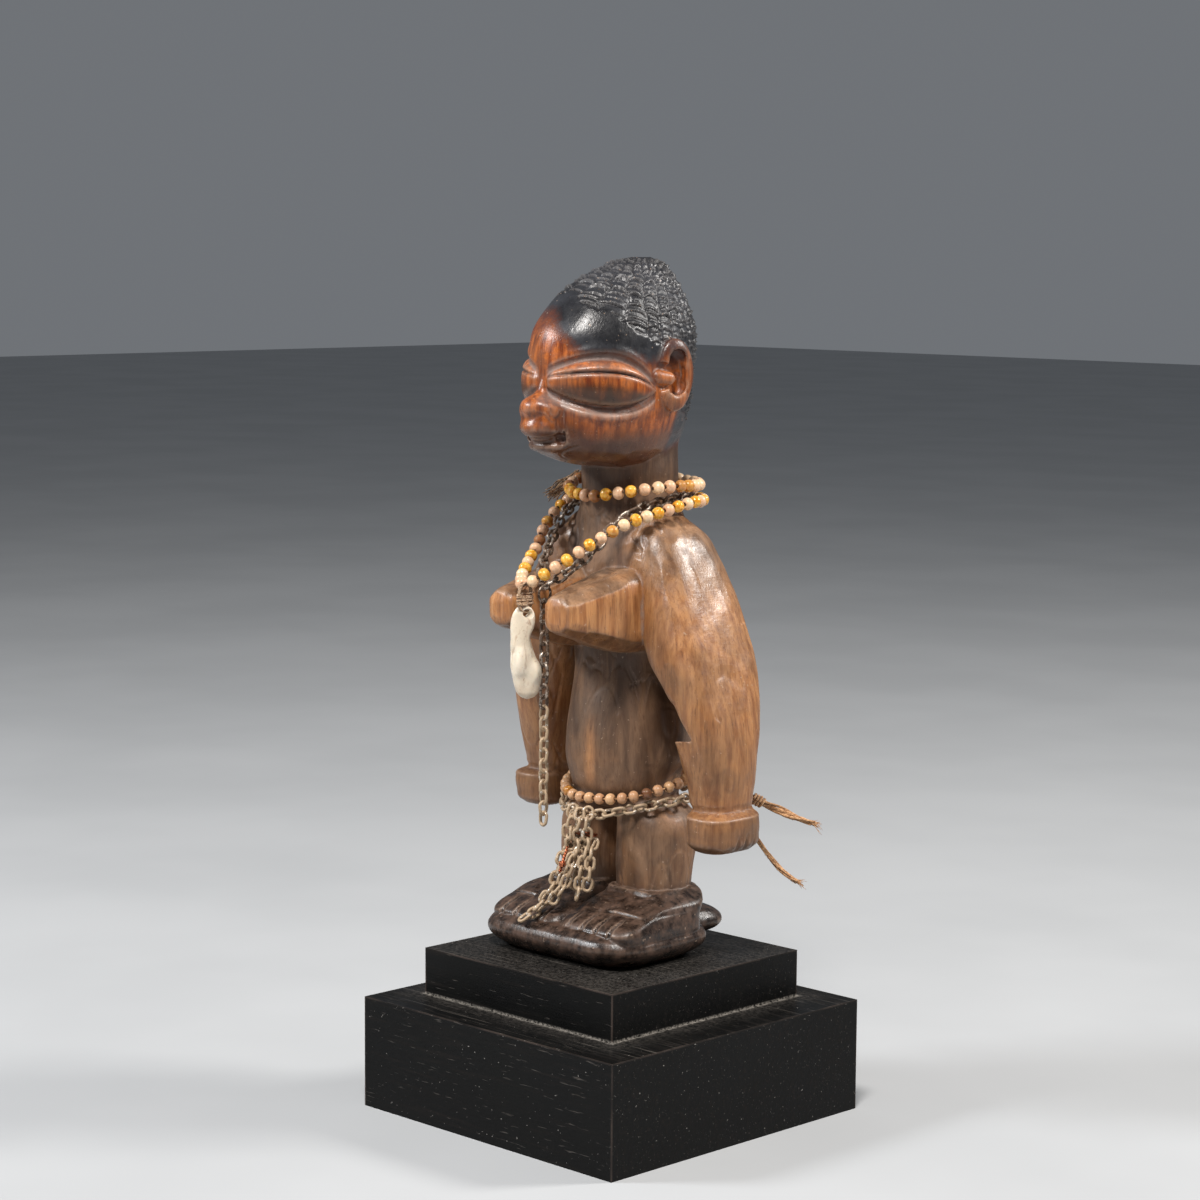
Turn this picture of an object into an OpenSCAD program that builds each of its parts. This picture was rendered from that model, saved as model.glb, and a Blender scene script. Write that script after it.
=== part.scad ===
// Carved fertility doll with beads, chains and a tooth pendant, standing on a stepped plinth.
// Millimetres. Origin: middle of the plinth's underside. +Z up, the figure faces -Y, its left is +X.

/* [Plinth] */
// Width and depth of the lower block
base_w = 130; // [120:1:180]
// Height of the lower block
base_h = 41.75; // [30:0.25:60]
// Width and depth of the upper block
step_w = 98.4; // [90:0.1:110]
// Height of the upper block
step_h = 17.5; // [14:0.5:30]
// How far the upper block is off the middle, to the figure's right and to its back
step_off = 3.7; // [0:0.1:6]
// Diameter of the steel pins that the figure stands on
pin_d = 3; // [2:0.5:4]
// Length of the steel pins
pin_l = 24; // [16:1:28]

/* [Figure] */
// Where the figure's middle plane lies along X
fig_x = -8; // [-12:0.5:0]
// Where the axis of the neck and legs lies along Y
fig_y = 16; // [8:0.5:20]
// Distance from the middle plane to the middle of each leg
leg_gap = 14.5; // [14.2:0.1:16]
// Radius of each leg
leg_r = 13.8; // [12:0.1:14]
// Radius of the neck
neck_r = 17.3; // [15:0.1:18]

/* [Beads] */
// Diameter of the neck beads
bead_d = 4.8; // [4:0.1:5]
// Diameter of the waist beads
waist_bead_d = 4.4; // [4:0.1:4.6]
// Diameter of the hole through a bead
bead_hole = 1.8; // [1.4:0.1:2]
// Diameter of the thread that the beads are strung on
thread_d = 0.7; // [0.5:0.1:0.8]

/* [Chains] */
// Diameter of the chain wire
wire_d = 1; // [0.8:0.1:1]
// Outer width of a link
link_w = 4.2; // [4:0.1:4.6]
// Outer length of a link
link_l = 6; // [5.8:0.1:6.6]
// Number of links in the tail that hangs from the neck chain
tail_links = 21; // [10:1:21]

/* [Pendant] */
// Height of the pendant
pendant_h = 34; // [28:1:36]
// Thickness of the pendant from front to back
pendant_t = 7.5; // [6:0.5:9]

/* [Hidden] */

plinth_top = base_h + step_h;
clearance = 0.15;
step_at = [-step_off, step_off];
figure_at = [fig_x, fig_y, 0];

// Screws that hold the upper block: one each side of the middle, along the diagonal
screw_at = [for (s = [-1, 1]) [s * 26 - step_off, s * 26 + step_off]];
screw_d = 4.5;
screw_head_d = 8.6;
screw_l = 45;
screw_recess = 9;

// Pins under the two feet
pin_y = -12;
pin_sink = pin_l / 2;

// Chain: distance between links that are pulled tight, less a little play
link_pitch = link_l - 2 * wire_d - 0.08;
ring_r = 3;
hang = 1.5 * wire_d + 0.08;

// Route of each strand, as points that it passes, in order round the neck or waist
collar_route = [[-8, -5, 229.5], [9, 1, 232], [16, 15, 233.4], [13, 30, 232.8], [2, 41, 232.6],
    [-14, 43, 233.5], [-27, 36, 235.5], [-32.5, 20, 235.5], [-27, 3, 231]];
pendant_route = [[-8, -37.5, 199], [-3.5, -35, 201.8], [3, -28, 208], [8, -20, 213.8], [12, -12, 218.8],
    [15, -4, 222], [17, 5, 224.2], [18, 14, 226], [17.5, 24, 227.2], [12.5, 34, 227], [2, 41.6, 226.8],
    [-12, 43.4, 226.8], [-25, 38, 227], [-32.5, 27, 227], [-34, 13, 226.2], [-33, 4, 223.4],
    [-31, -5, 217], [-28, -12, 210.5], [-24, -20, 205.8], [-18.5, -28.5, 202], [-12.5, -35, 199.8]];
chain_route = [[-8, -27.8, 198.6], [-3.4, -27, 200.4], [1.6, -22.4, 205], [4.6, -15, 211.2], [4.8, -7.6, 217.6],
    [7, -0.4, 222.8], [10.8, 6.4, 226.4], [12.6, 16, 228.2], [11.4, 25, 228.8], [7, 33, 228.6], [-2, 37.4, 228.2],
    [-14, 37.4, 228.2], [-23.6, 31.4, 228.4], [-28.4, 22, 228.4], [-28.6, 10, 225.8], [-27, 0, 220.8],
    [-24, -8, 214.2], [-19.4, -16, 207.8], [-15.4, -22.4, 203], [-12, -26.6, 199.8]];
waist_route = [[-8, -6.6, 117.6], [5, -3.6, 118.2], [14, 5, 120.4], [17.2, 16, 123], [14, 29, 124],
    [4, 37, 123], [-10, 39.6, 122], [-23, 35, 122.5], [-30, 25, 123.5], [-31.4, 13, 122], [-26.6, 2, 119.4],
    [-18, -4.6, 118]];
waist_chain_route = [[-8, -7, 111.4], [1, -6, 112.4], [9, -1, 114.4], [15.4, 7.4, 116.2], [18.4, 17, 117.2],
    [15, 29, 117.6], [5, 37.4, 117.2], [-10, 40, 116.8], [-24, 35.6, 117], [-31.6, 24, 117.4], [-32.4, 13, 116.2],
    [-27, 1.4, 114], [-18.4, -5.4, 112]];
twine_upper_route = [[6.4, 46, 120], [9.8, 49.8, 118.4], [13.6, 54, 115.6], [18, 58.8, 112], [24, 64.2, 108.4],
    [30, 69.8, 105.2], [35, 75, 102.4]];
twine_lower_route = [[3.4, 46.4, 118.2], [6.4, 49.8, 114.6], [11, 54.4, 108], [15.6, 58.6, 100], [20, 62, 92.6],
    [24, 65, 86.4], [28, 68, 82], [31, 70.5, 79.8]];
twine_d = 1.8;
twine_thin_d = 1.5;

// Copper loop that the tassel's strands hang from
loop_l = 17;
loop_w = 5;
loop_d = 1;

// Strands of the tassel, each from its top link down, measured from the middle of the copper loop's lower bar
tassel_strands = [
    [[-5.4, 0.4, 0.6], [-6.2, -3.8, -4.8], [-6.2, -6.6, -11.4], [-6.6, -8.8, -17.8], [-7.8, -11.6, -23.2],
        [-9.2, -14.8, -26.4], [-10.8, -18.6, -28], [-12.2, -22, -30.4]],
    [[-2.7, 0.4, 0.6], [-3.4, -0.4, -5], [-3.4, -0.8, -10.6], [-3, -1.4, -16], [-2.4, -1.8, -20.6]],
    [[0, 0.4, 0.6], [-0.2, -4.2, -4.4], [-0.8, -7.2, -9.6], [-1.6, -9.6, -15.2], [-2.6, -11.8, -20.2],
        [-3.8, -13.6, -24.4]],
    [[2.7, 0.4, 0.6], [3.6, -0.4, -5], [4, -0.6, -10.6], [3.6, -0.8, -15.6], [2.8, -1, -20]],
    [[5.4, 0.4, 0.6], [7.2, -3.4, -4.8], [8, -5, -10.6], [7.6, -5.8, -16], [5.8, -6.2, -20.4]]];

// Shapes that carry the parts

function signed_power(c, p) = sign(c) * pow(abs(c), 2 / p);

// One closed outline of a loft: section = [x, y, z, half width, half depth]
function outline(section, sides, power) = [for (k = [0:sides - 1]) let (a = 360 * k / sides)
    [section[0] + section[3] * signed_power(cos(a), power),
     section[1] + section[4] * signed_power(sin(a), power), section[2]]];

// Faces of a skin through rings of points, with flat ends unless the rings close on themselves
function skin_sides(rings, sides, closed) = [for (i = [0:rings - (closed ? 1 : 2)], k = [0:sides - 1])
    let (a = i * sides + k, b = i * sides + (k + 1) % sides,
         c = ((i + 1) % rings) * sides + k, d = ((i + 1) % rings) * sides + (k + 1) % sides)
    each [[a, c, d], [a, d, b]]];
function skin_ends(rings, sides) = [[for (k = [0:sides - 1]) k],
    [for (k = [sides - 1:-1:0]) (rings - 1) * sides + k]];

// A rounded body that grows along +Z through its sections
module loft(sections, sides = 28, power = 2) {
    polyhedron([for (s = sections) each outline(s, sides, power)],
        concat(skin_sides(len(sections), sides, false), skin_ends(len(sections), sides)), convexity = 4);
}

// Catmull-Rom curve through the points of a route
function blend(a, b, c, d, t) = 0.5 * (2 * b + (c - a) * t + (2 * a - 5 * b + 4 * c - d) * t * t
    + (3 * b - a - 3 * c + d) * t * t * t);
function closed_curve(p, steps) = let (n = len(p)) [for (i = [0:n - 1], k = [0:steps - 1])
    blend(p[(i + n - 1) % n], p[i], p[(i + 1) % n], p[(i + 2) % n], k / steps)];
function open_curve(p, steps) = let (n = len(p)) [for (i = [0:n - 2], k = [0:steps - 1])
    blend(p[max(i - 1, 0)], p[i], p[i + 1], p[min(i + 2, n - 1)], k / steps), p[n - 1]];

// Distance along a curve to each of its points, and the point at a distance
function distances(p) = [for (i = 0, s = 0; i < len(p);
    s = s + (i + 1 < len(p) ? norm(p[i + 1] - p[i]) : 0), i = i + 1) s];
function at_distance(p, along, s) = let (k = max([for (i = [0:len(p) - 2]) if (along[i] <= s) i]))
    p[k] + (p[k + 1] - p[k]) * (s - along[k]) / (along[k + 1] - along[k]);
function unit(v) = v / norm(v);

// Evenly spaced [point, direction] pairs round a closed route: count of them, the first half a gap past
// its first point and shift of a pitch further on
function spaced_ring(route, count, gap = 0, shift = 0) = let (c = closed_curve(route, 8),
    loop = concat(c, [c[0]]), along = distances(loop), whole = along[len(loop) - 1],
    pitch = (whole - gap) / count)
    [for (k = [0:count - 1]) let (s = gap / 2 + (k + shift) * pitch,
        ahead = at_distance(loop, along, (s + pitch * 0.4) % whole),
        behind = at_distance(loop, along, (s - pitch * 0.4 + whole) % whole))
        [at_distance(loop, along, s), unit(ahead - behind)]];
function ring_length(route) = let (c = closed_curve(route, 8), along = distances(concat(c, [c[0]])))
    along[len(c)];

// Turns +Z to a direction and moves to a point
module aim(at, direction) {
    translate(at)
        rotate([0, acos(direction[2]), atan2(direction[1], direction[0])])
            children();
}

// The same for a direction that is near straight down, without turning about it
module hang_down(at, direction) {
    translate(at)
        rotate([asin(direction[1]), atan2(direction[0], direction[2]) + 180, 0])
            children();
}

// A tube swept along points, upright in cross-section
function tube_ring(at, direction, r, sides) = let (side = unit(cross(direction, [0, 0, 1])),
    up = cross(direction, side)) [for (k = [0:sides - 1]) let (a = 360 * k / sides)
    at + r * (cos(a) * side + sin(a) * up)];
module tube(points, d, sides = 8, closed = false) {
    n = len(points);
    rings = [for (i = [0:n - 1]) let (before = closed ? (i + n - 1) % n : max(i - 1, 0),
        after = closed ? (i + 1) % n : min(i + 1, n - 1))
        each tube_ring(points[i], unit(points[after] - points[before]), d / 2, sides)];
    ends = closed ? [] : skin_ends(n, sides);
    polyhedron(rings, concat(skin_sides(n, sides, closed), ends), convexity = 6);
}

// One link of wire with straight sides, standing in the XZ plane
module link(length, width, wire) {
    r = (width - wire) / 2;
    straight = length - width;
    for (tip = [-1, 1])
        translate([0, 0, tip * straight / 2])
            rotate([tip * 90, 0, 0])
                rotate_extrude(angle = 180, $fn = 32)
                    translate([r, 0])
                        circle(d = wire, $fn = 20);
    for (side = [-r, r])
        translate([side, 0, -straight / 2])
            cylinder(d = wire, h = straight, $fn = 20);
}

// Every other link stands across its neighbours
module worn_chain(route) {
    places = spaced_ring(route, 2 * ceil(ring_length(route) / (2 * link_pitch)));
    for (k = [0:len(places) - 1])
        aim(places[k][0], places[k][1])
            rotate([0, 0, 90 * (k % 2) + 45 * min(1, min(k, len(places) - k) / 5)])
                link(link_l, link_w, wire_d);
}

module hanging_chain(places) {
    for (k = [0:len(places) - 1])
        hang_down(places[k][0], places[k][1])
            rotate([0, 0, 90 + 90 * (k % 2)])
                link(link_l, link_w, wire_d);
}

module wire_ring(at, r) {
    translate(at)
        rotate([0, 90, 0])
            rotate_extrude($fn = 40)
                translate([r, 0])
                    circle(d = wire_d, $fn = 20);
}

// Beads threaded round a route, with a gap in them where it starts
module bead_strand(route, d, gap = 0) {
    count = floor((ring_length(route) - gap) / (d + 0.06));
    for (place = spaced_ring(route, count, gap, 0.5))
        aim(place[0], place[1])
            difference() {
                sphere(d = d, $fn = 28);
                cylinder(d = bead_hole, h = d + 1, center = true, $fn = 20);
            }
}

module ring_thread(route) {
    tube([for (place = spaced_ring(route, 60)) place[0]], thread_d, closed = true);
}

// Plinth

module plinth_lower_block() {
    color("#1c1a19")
        difference() {
            translate([-base_w / 2, -base_w / 2, 0])
                cube([base_w, base_w, base_h]);
            for (p = screw_at)
                translate([p[0], p[1], -1]) {
                    cylinder(d = screw_head_d + 1, h = screw_recess + 1, $fn = 32);
                    cylinder(d = screw_d + 2 * clearance, h = base_h + 2, $fn = 32);
                }
        }
}

module plinth_upper_block() {
    color("#1f1d1c")
        difference() {
            translate([step_at[0] - step_w / 2, step_at[1] - step_w / 2, base_h])
                cube([step_w, step_w, step_h]);
            for (p = screw_at)
                translate([p[0], p[1], base_h - 1])
                    cylinder(d = screw_d, h = screw_recess + screw_l - base_h + 1, $fn = 32);
            pins_layout(pin_d, plinth_top - pin_sink, plinth_top + 1);
        }
}

module block_screws() {
    color("#8d8a84")
        for (p = screw_at)
            translate([p[0], p[1], screw_recess])
                difference() {
                    union() {
                        translate([0, 0, -3])
                            cylinder(d = screw_head_d, h = 3, $fn = 32);
                        cylinder(d = screw_d, h = screw_l, $fn = 32);
                    }
                    for (turn = [0, 90])
                        rotate([0, 0, turn])
                            translate([-2.5, -0.5, -3.5])
                                cube([5, 1, 2]);
                }
}

module pins_layout(d, from_z, to_z) {
    for (side = [-1, 1])
        translate([fig_x + side * leg_gap, fig_y + pin_y, from_z])
            cylinder(d = d, h = to_z - from_z, $fn = 28);
}

module mount_pins() {
    color("#a9a7a2")
        pins_layout(pin_d, plinth_top - pin_sink, plinth_top + pin_l - pin_sink);
}

// Carved figure: every section is [x, y, z, half width, half depth] from the figure's own axis

module slab() {
    z = plinth_top;
    loft([[-1, -15, z, 31, 21], [-1, -15, z + 2.6, 36.5, 26.5], [-1, -15, z + 5, 38.6, 28.4],
        [-1, -15, z + 8, 38.6, 28.4], [-1, -15, z + 10.4, 37.4, 27.2], [-1, -14, z + 12, 35.5, 25.5]],
        32, 5);
    // Heel block behind the feet
    loft([[2, 14, z + 4, 19, 12], [2, 14, z + 6, 22.4, 16], [2, 14, z + 11.6, 22.4, 16],
        [2, 12, z + 14, 19, 13]], 24, 4);
}

module foot(side) {
    z = plinth_top + 11;
    loft([[side * 18, -16, z, 19, 22], [side * 18, -15.4, z + 4, 17.6, 20.6],
        [side * 17, -7, z + 8.5, 14.6, 16.5], [side * 15, -2, z + 13, 12, 13]], 24, 4);
}

module leg(side) {
    x = side * leg_gap;
    r = leg_r;
    loft([[x, -1.5, plinth_top + 17, r - 1.6, r - 1.4], [x, -0.4, 84, r - 0.6, r - 0.6], [x, 0, 92, r, r],
        [x, 1, 99, r, r + 1.4], [x, 2, 106, r - 0.2, r + 2.4], [x * 0.94, 1.6, 110, r - 1.8, r + 1.2],
        [x * 0.82, 1, 114, r - 4.4, r - 1], [x * 0.7, 0.5, 118, r - 6, r - 3]], 24, 2.3);
}

module torso() {
    loft([[0, 1.5, 113, 12, 12], [0, 0.5, 116, 18, 16.4], [0, 0, 119, 19.4, 18.2], [0, -1, 124, 20.4, 19],
        [0, -2, 132, 21.6, 20.2], [0, -2, 140, 21.6, 20.2], [0, -1.8, 152, 20.6, 18.4],
        [0, -1.2, 164, 20, 16.6], [0, -0.6, 176, 22.6, 16.8], [0, -1, 188, 27, 19], [0, -0.6, 200, 29, 19.4],
        [0, 0, 210, 27, 18.6], [0, 0.4, 219, 22, 17.8], [0, 0.2, 227, neck_r + 0.6, neck_r + 0.4],
        [0, 0, 240, neck_r, neck_r], [0, 0, 250, neck_r - 0.4, neck_r - 0.4]], 32, 2.2);
}

module head() {
    loft([[0, -10, 241, 9, 18], [0, -12, 244.5, 15, 26.5], [0, -14, 249, 19.6, 32], [0, -12.6, 255, 22.4, 34],
        [0, -11.2, 262, 23.8, 34.8], [0, -10.2, 269, 24, 35.4], [0, -9.8, 276, 23.8, 35.8],
        [0, -9.2, 283, 23.5, 36.2], [0, -8.2, 290, 22.9, 35.2], [0, -6.3, 298, 20.4, 30.8],
        [0, -3.6, 306, 16.6, 24], [0, 1.6, 312.8, 11, 15], [0, 4, 316, 6.6, 8.6], [0, 5, 317.2, 2, 2.6]],
        32, 2.1);
    // Nose and lips
    loft([[0, -42, 247.5, 6, 4.4], [0, -43.4, 252, 8.6, 6.6], [0, -43.8, 256, 8.2, 7.4], [0, -44.6, 260, 8, 8],
        [0, -45, 263.4, 7, 8.4], [0, -43.4, 268, 4, 5.6], [0, -42, 274, 2.8, 4.4]], 20, 2.4);
}

module eye(side) {
    translate([side * 16.4, -34.6, 272.4])
        rotate([0, 0, side * 54])
            loft([[0, 0, -9.5, 9, 1.4], [0, 0, -6, 17, 3.2], [0, 0, 0, 20, 4.2], [0, 0, 5, 17, 3.2],
                [0, 0, 9, 9, 1.4]], 20, 2);
}

module ear(side) {
    loft([[side * 22.4, -1.6, 260, 2, 3.4], [side * 23.4, -1.2, 263, 2.6, 5.6], [side * 24, -1, 270, 3, 7],
        [side * 24, -1.2, 277, 3.2, 7.4], [side * 23.4, -2, 283, 2.8, 5.6], [side * 22.6, -3, 286, 2, 3]],
        16, 2.4);
}

module breast(side) {
    translate([side * 14.6, 0, 189])
        rotate([90, 0, 0])
            loft([[side * -1.4, 0.5, 8, 12.8, 15], [side * -0.8, 0.5, 24, 12.6, 14.8], [0, 0, 35, 10.6, 11.8],
                [0, 0, 49, 7.4, 7.8], [0, 0, 53.4, 5, 5.2]], 20, 2.6);
}

// Arm from hand to shoulder; spread is how far in the elbow and hand stand, raise is how much higher they are
module arm(side, spread, raise) {
    loft([for (s = [[49.8, -1, 102.8, 7.6, 11], [49.8, -1, 104.8, 9.8, 13.8], [49.8, -1, 112.6, 10, 14],
        [49.4, -0.8, 115.8, 9, 12.8], [48, 0.4, 117.6, 8.4, 12.4], [47.2, 0.6, 126, 9.4, 13],
        [46, 0.6, 135, 10.6, 15], [44, 1, 146, 11.6, 18], [41, 1, 158, 12.2, 20.4], [36.6, 1, 171, 12.8, 22.4],
        [31, 1, 186, 13, 21.6], [25.6, 1, 198, 13, 20.6], [20.6, 1, 208, 13, 18.8], [16.6, 0.6, 216, 12, 15.4],
        [13, 0, 222, 9, 10]])
        let (low = max(0, 1 - (s[2] - 101) / 100))
        [side * (s[0] - spread * low), s[1], s[2] + raise * low, s[3], s[4]]], 24, 2.7);
}

module carved_figure() {
    color("#7a4e31")
        difference() {
            translate(figure_at) {
                slab();
                torso();
                head();
                for (side = [-1, 1]) {
                    foot(side);
                    leg(side);
                    eye(side);
                    ear(side);
                    breast(side);
                }
                arm(1, 0, 0);
                arm(-1, 11, 6);
            }
            pins_layout(pin_d + 2 * clearance, plinth_top - 1, plinth_top + pin_l - pin_sink + 1);
        }
}

// Neck strands

module collar_beads() {
    color("#d9b27c")
        bead_strand(collar_route, bead_d);
}

module collar_thread() {
    color("#6b5338")
        ring_thread(collar_route);
}

module neck_knot() {
    color("#5a4630")
        translate([-36.6, 9.6, 230.4])
            rotate([0, 0, 45])
                loft([[-0.4, 0, -3, 2, 0.8], [-0.4, 0, -1.6, 4.2, 1.6], [0.2, 0, 0.4, 4.8, 1.8], [0.4, 0, 2.2, 3.4, 1.4],
                    [0.4, 0, 3.2, 1.6, 0.7]], 14, 2);
}

module pendant_beads() {
    color("#dca963")
        bead_strand(pendant_route, bead_d, 2 * tie_d);
}

module pendant_thread() {
    color("#6b5338")
        ring_thread(pendant_route);
}

tie_l = 11.6;
tie_w = 7.4;
tie_d = 0.8;
tie_at = pendant_route[0] - [0, 0, tie_l / 2 - tie_d - thread_d / 2 - 0.14];
pendant_pivot = tie_at - [0, 0, (tie_l - tie_d) / 2];
pendant_hole = 3.2;

module pendant_tie() {
    color("#b79a6b")
        translate(tie_at)
            rotate([0, 0, 90])
                link(tie_l, tie_w, tie_d);
}

// The pendant's profile faces the figure's left front: [offset, 0, height, half width, half thickness]
module pendant() {
    t = pendant_t / 2;
    k = pendant_h / 34;
    color("#e9e2d0")
        translate(pendant_pivot - [0, 0, pendant_h - 2.6])
            difference() {
                rotate([0, 0, 45])
                    loft([for (s = [[0.9, 0, 0, 0.8, 0.26], [1, 0, 1.2, 2.8, 0.6], [0.9, 0, 4, 4.9, 0.9],
                        [0.8, 0, 8, 5.8, 1], [0, 0, 12, 5.6, 1], [-0.7, 0, 15.6, 4.4, 0.94],
                        [-2, 0, 19, 3.5, 0.86], [-2.3, 0, 22.4, 3.3, 0.78], [-1.7, 0, 26, 4, 0.64],
                        [-0.6, 0, 29.4, 4.1, 0.5], [-0.4, 0, 32.4, 3.2, 0.42], [-0.4, 0, 34, 1.6, 0.26]])
                        [s[0], s[1], s[2] * k, s[3], s[4] * t]], 20, 2.2);
                translate([0, 0, pendant_h - 2.6 - 0.3])
                    rotate([90, 0, 0])
                        cylinder(d = pendant_hole, h = 20, center = true, $fn = 28);
            }
}

// Neck chain, its ring and its hanging tail

module neck_chain() {
    color("#6d665a")
        worn_chain(chain_route);
}

chain_ring_at = chain_route[0] - [0, 0, (link_w - wire_d) / 2 - wire_d - 0.08 + ring_r];
tail_pivot = chain_ring_at - [0, 0, ring_r];
tail_split = floor(tail_links / 2);

module chain_ring() {
    color("#8a8478")
        wire_ring(chain_ring_at, ring_r);
}

// Height of the middle of a tail link below the pivot
function tail_drop(k) = link_l / 2 - hang + k * link_pitch;

module tail(from, to) {
    color("#b5b0a2")
        for (k = [from:to])
            translate(tail_pivot - [0, 0, tail_drop(k)])
                rotate([0, 0, 90 * (k % 2)])
                    link(link_l, link_w, wire_d);
}

module chain_tail_upper() {
    tail(0, tail_split - 1);
}

module chain_tail_lower() {
    tail(tail_split, tail_links - 1);
}

// Waist strands

module waist_beads() {
    color("#c99a6a")
        bead_strand(waist_route, waist_bead_d);
}

module waist_twine() {
    color("#a98454")
        ring_thread(waist_route);
}

module waist_knot() {
    color("#b08a58")
        translate([3, 42.6, 121])
            rotate([0, 0, -20])
                loft([[0, 0, -3, 1.4, 1], [0, 0, -1.6, 3, 2], [0, 0, 0.2, 3.4, 2.2], [0, 0, 1.8, 2.6, 1.8],
                    [0, 0, 3, 1.2, 0.9]], 14, 2);
}

module twine_end_upper() {
    color("#b8925c")
        tube(open_curve(twine_upper_route, 3), twine_d);
}

module twine_end_lower() {
    color("#b8925c")
        tube(open_curve(twine_lower_route, 3), twine_thin_d);
}

module waist_chain() {
    color("#a39c8c")
        worn_chain(waist_chain_route);
}

tassel_ring_at = waist_chain_route[0] - [0, 0, (link_w - wire_d) / 2 - wire_d - 0.08 + ring_r];
loop_at = tassel_ring_at - [0, 0, ring_r - hang + loop_w / 2];
tassel_pivot = loop_at - [0, 0, (loop_w - loop_d) / 2];

module tassel_ring() {
    color("#a39c8c")
        wire_ring(tassel_ring_at, ring_r);
}

module copper_loop() {
    color("#a9603c")
        translate(loop_at)
            rotate([0, 90, 0])
                rotate([0, 0, 90])
                    link(loop_l, loop_w, loop_d);
}

// Evenly spaced link places along an open strand
function spaced_strand(route) = let (c = open_curve(route, 6), along = distances(c),
    count = floor(along[len(c) - 1] / link_pitch))
    [for (k = [0:count - 1]) let (s = link_l / 2 - hang + 0.6 + k * link_pitch) [at_distance(c, along, s),
        unit(at_distance(c, along, s + 1) - at_distance(c, along, s - 1))]];

module tassel_chains() {
    color("#c9c2ae")
        translate(tassel_pivot)
            for (strand = tassel_strands)
                hanging_chain(spaced_strand(strand));
}

plinth_lower_block();
plinth_upper_block();
block_screws();
mount_pins();
carved_figure();
collar_beads();
collar_thread();
neck_knot();
pendant_beads();
pendant_thread();
pendant_tie();
pendant();
neck_chain();
chain_ring();
chain_tail_upper();
chain_tail_lower();
waist_beads();
waist_twine();
waist_knot();
twine_end_upper();
twine_end_lower();
waist_chain();
tassel_ring();
copper_loop();
tassel_chains();
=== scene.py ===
import math

import bpy
import numpy as np
from mathutils import Matrix


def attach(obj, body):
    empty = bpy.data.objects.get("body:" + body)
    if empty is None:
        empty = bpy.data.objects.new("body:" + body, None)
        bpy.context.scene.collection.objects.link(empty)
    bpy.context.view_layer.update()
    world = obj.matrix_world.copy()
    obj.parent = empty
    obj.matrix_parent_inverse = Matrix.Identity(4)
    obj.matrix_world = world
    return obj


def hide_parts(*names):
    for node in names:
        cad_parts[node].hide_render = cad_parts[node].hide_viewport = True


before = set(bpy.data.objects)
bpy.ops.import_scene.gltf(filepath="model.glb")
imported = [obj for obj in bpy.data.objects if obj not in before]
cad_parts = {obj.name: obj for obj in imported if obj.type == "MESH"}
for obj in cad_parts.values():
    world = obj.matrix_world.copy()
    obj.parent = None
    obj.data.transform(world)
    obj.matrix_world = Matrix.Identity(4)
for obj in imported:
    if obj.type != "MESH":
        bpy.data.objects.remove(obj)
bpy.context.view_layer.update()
MM = 0.001
TAU = math.tau
FIXED = "figure_on_plinth"


# Camera


def make_camera():
    """A long lens at the figure's left front, a little above its waist."""
    azimuth, elevation, roll = (math.radians(x) for x in (44.903, 6.846, 0.4))
    flat = math.cos(elevation)
    back = np.array([math.sin(azimuth) * flat, -math.cos(azimuth) * flat, math.sin(elevation)])
    right = np.array([math.cos(azimuth), math.sin(azimuth), 0.0])
    up = np.cross(back, right)
    place = right * -5.142 + np.array([0, 0, 191.284]) + back * 1108.423
    c, s = math.cos(roll), math.sin(roll)
    right, up = right * c + up * s, up * c - right * s
    data = bpy.data.cameras.new("camera")
    data.sensor_width = 36
    data.lens = 90.517
    data.clip_start, data.clip_end = 0.05, 50
    camera = bpy.data.objects.new("camera", data)
    bpy.context.scene.collection.objects.link(camera)
    matrix = Matrix.Identity(4)
    for row in range(3):
        matrix[row] = (right[row], up[row], back[row], place[row] * MM)
    camera.matrix_world = matrix
    bpy.context.scene.camera = camera


make_camera()


# Meshes


def stack(*parts):
    return np.stack(np.broadcast_arrays(*parts), axis=-1)


def circle(n):
    return np.linspace(0, TAU, n, endpoint=False)


def unit(v):
    v = np.asarray(v, float)
    return v / np.maximum(np.linalg.norm(v, axis=-1, keepdims=True), 1e-12)


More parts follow.
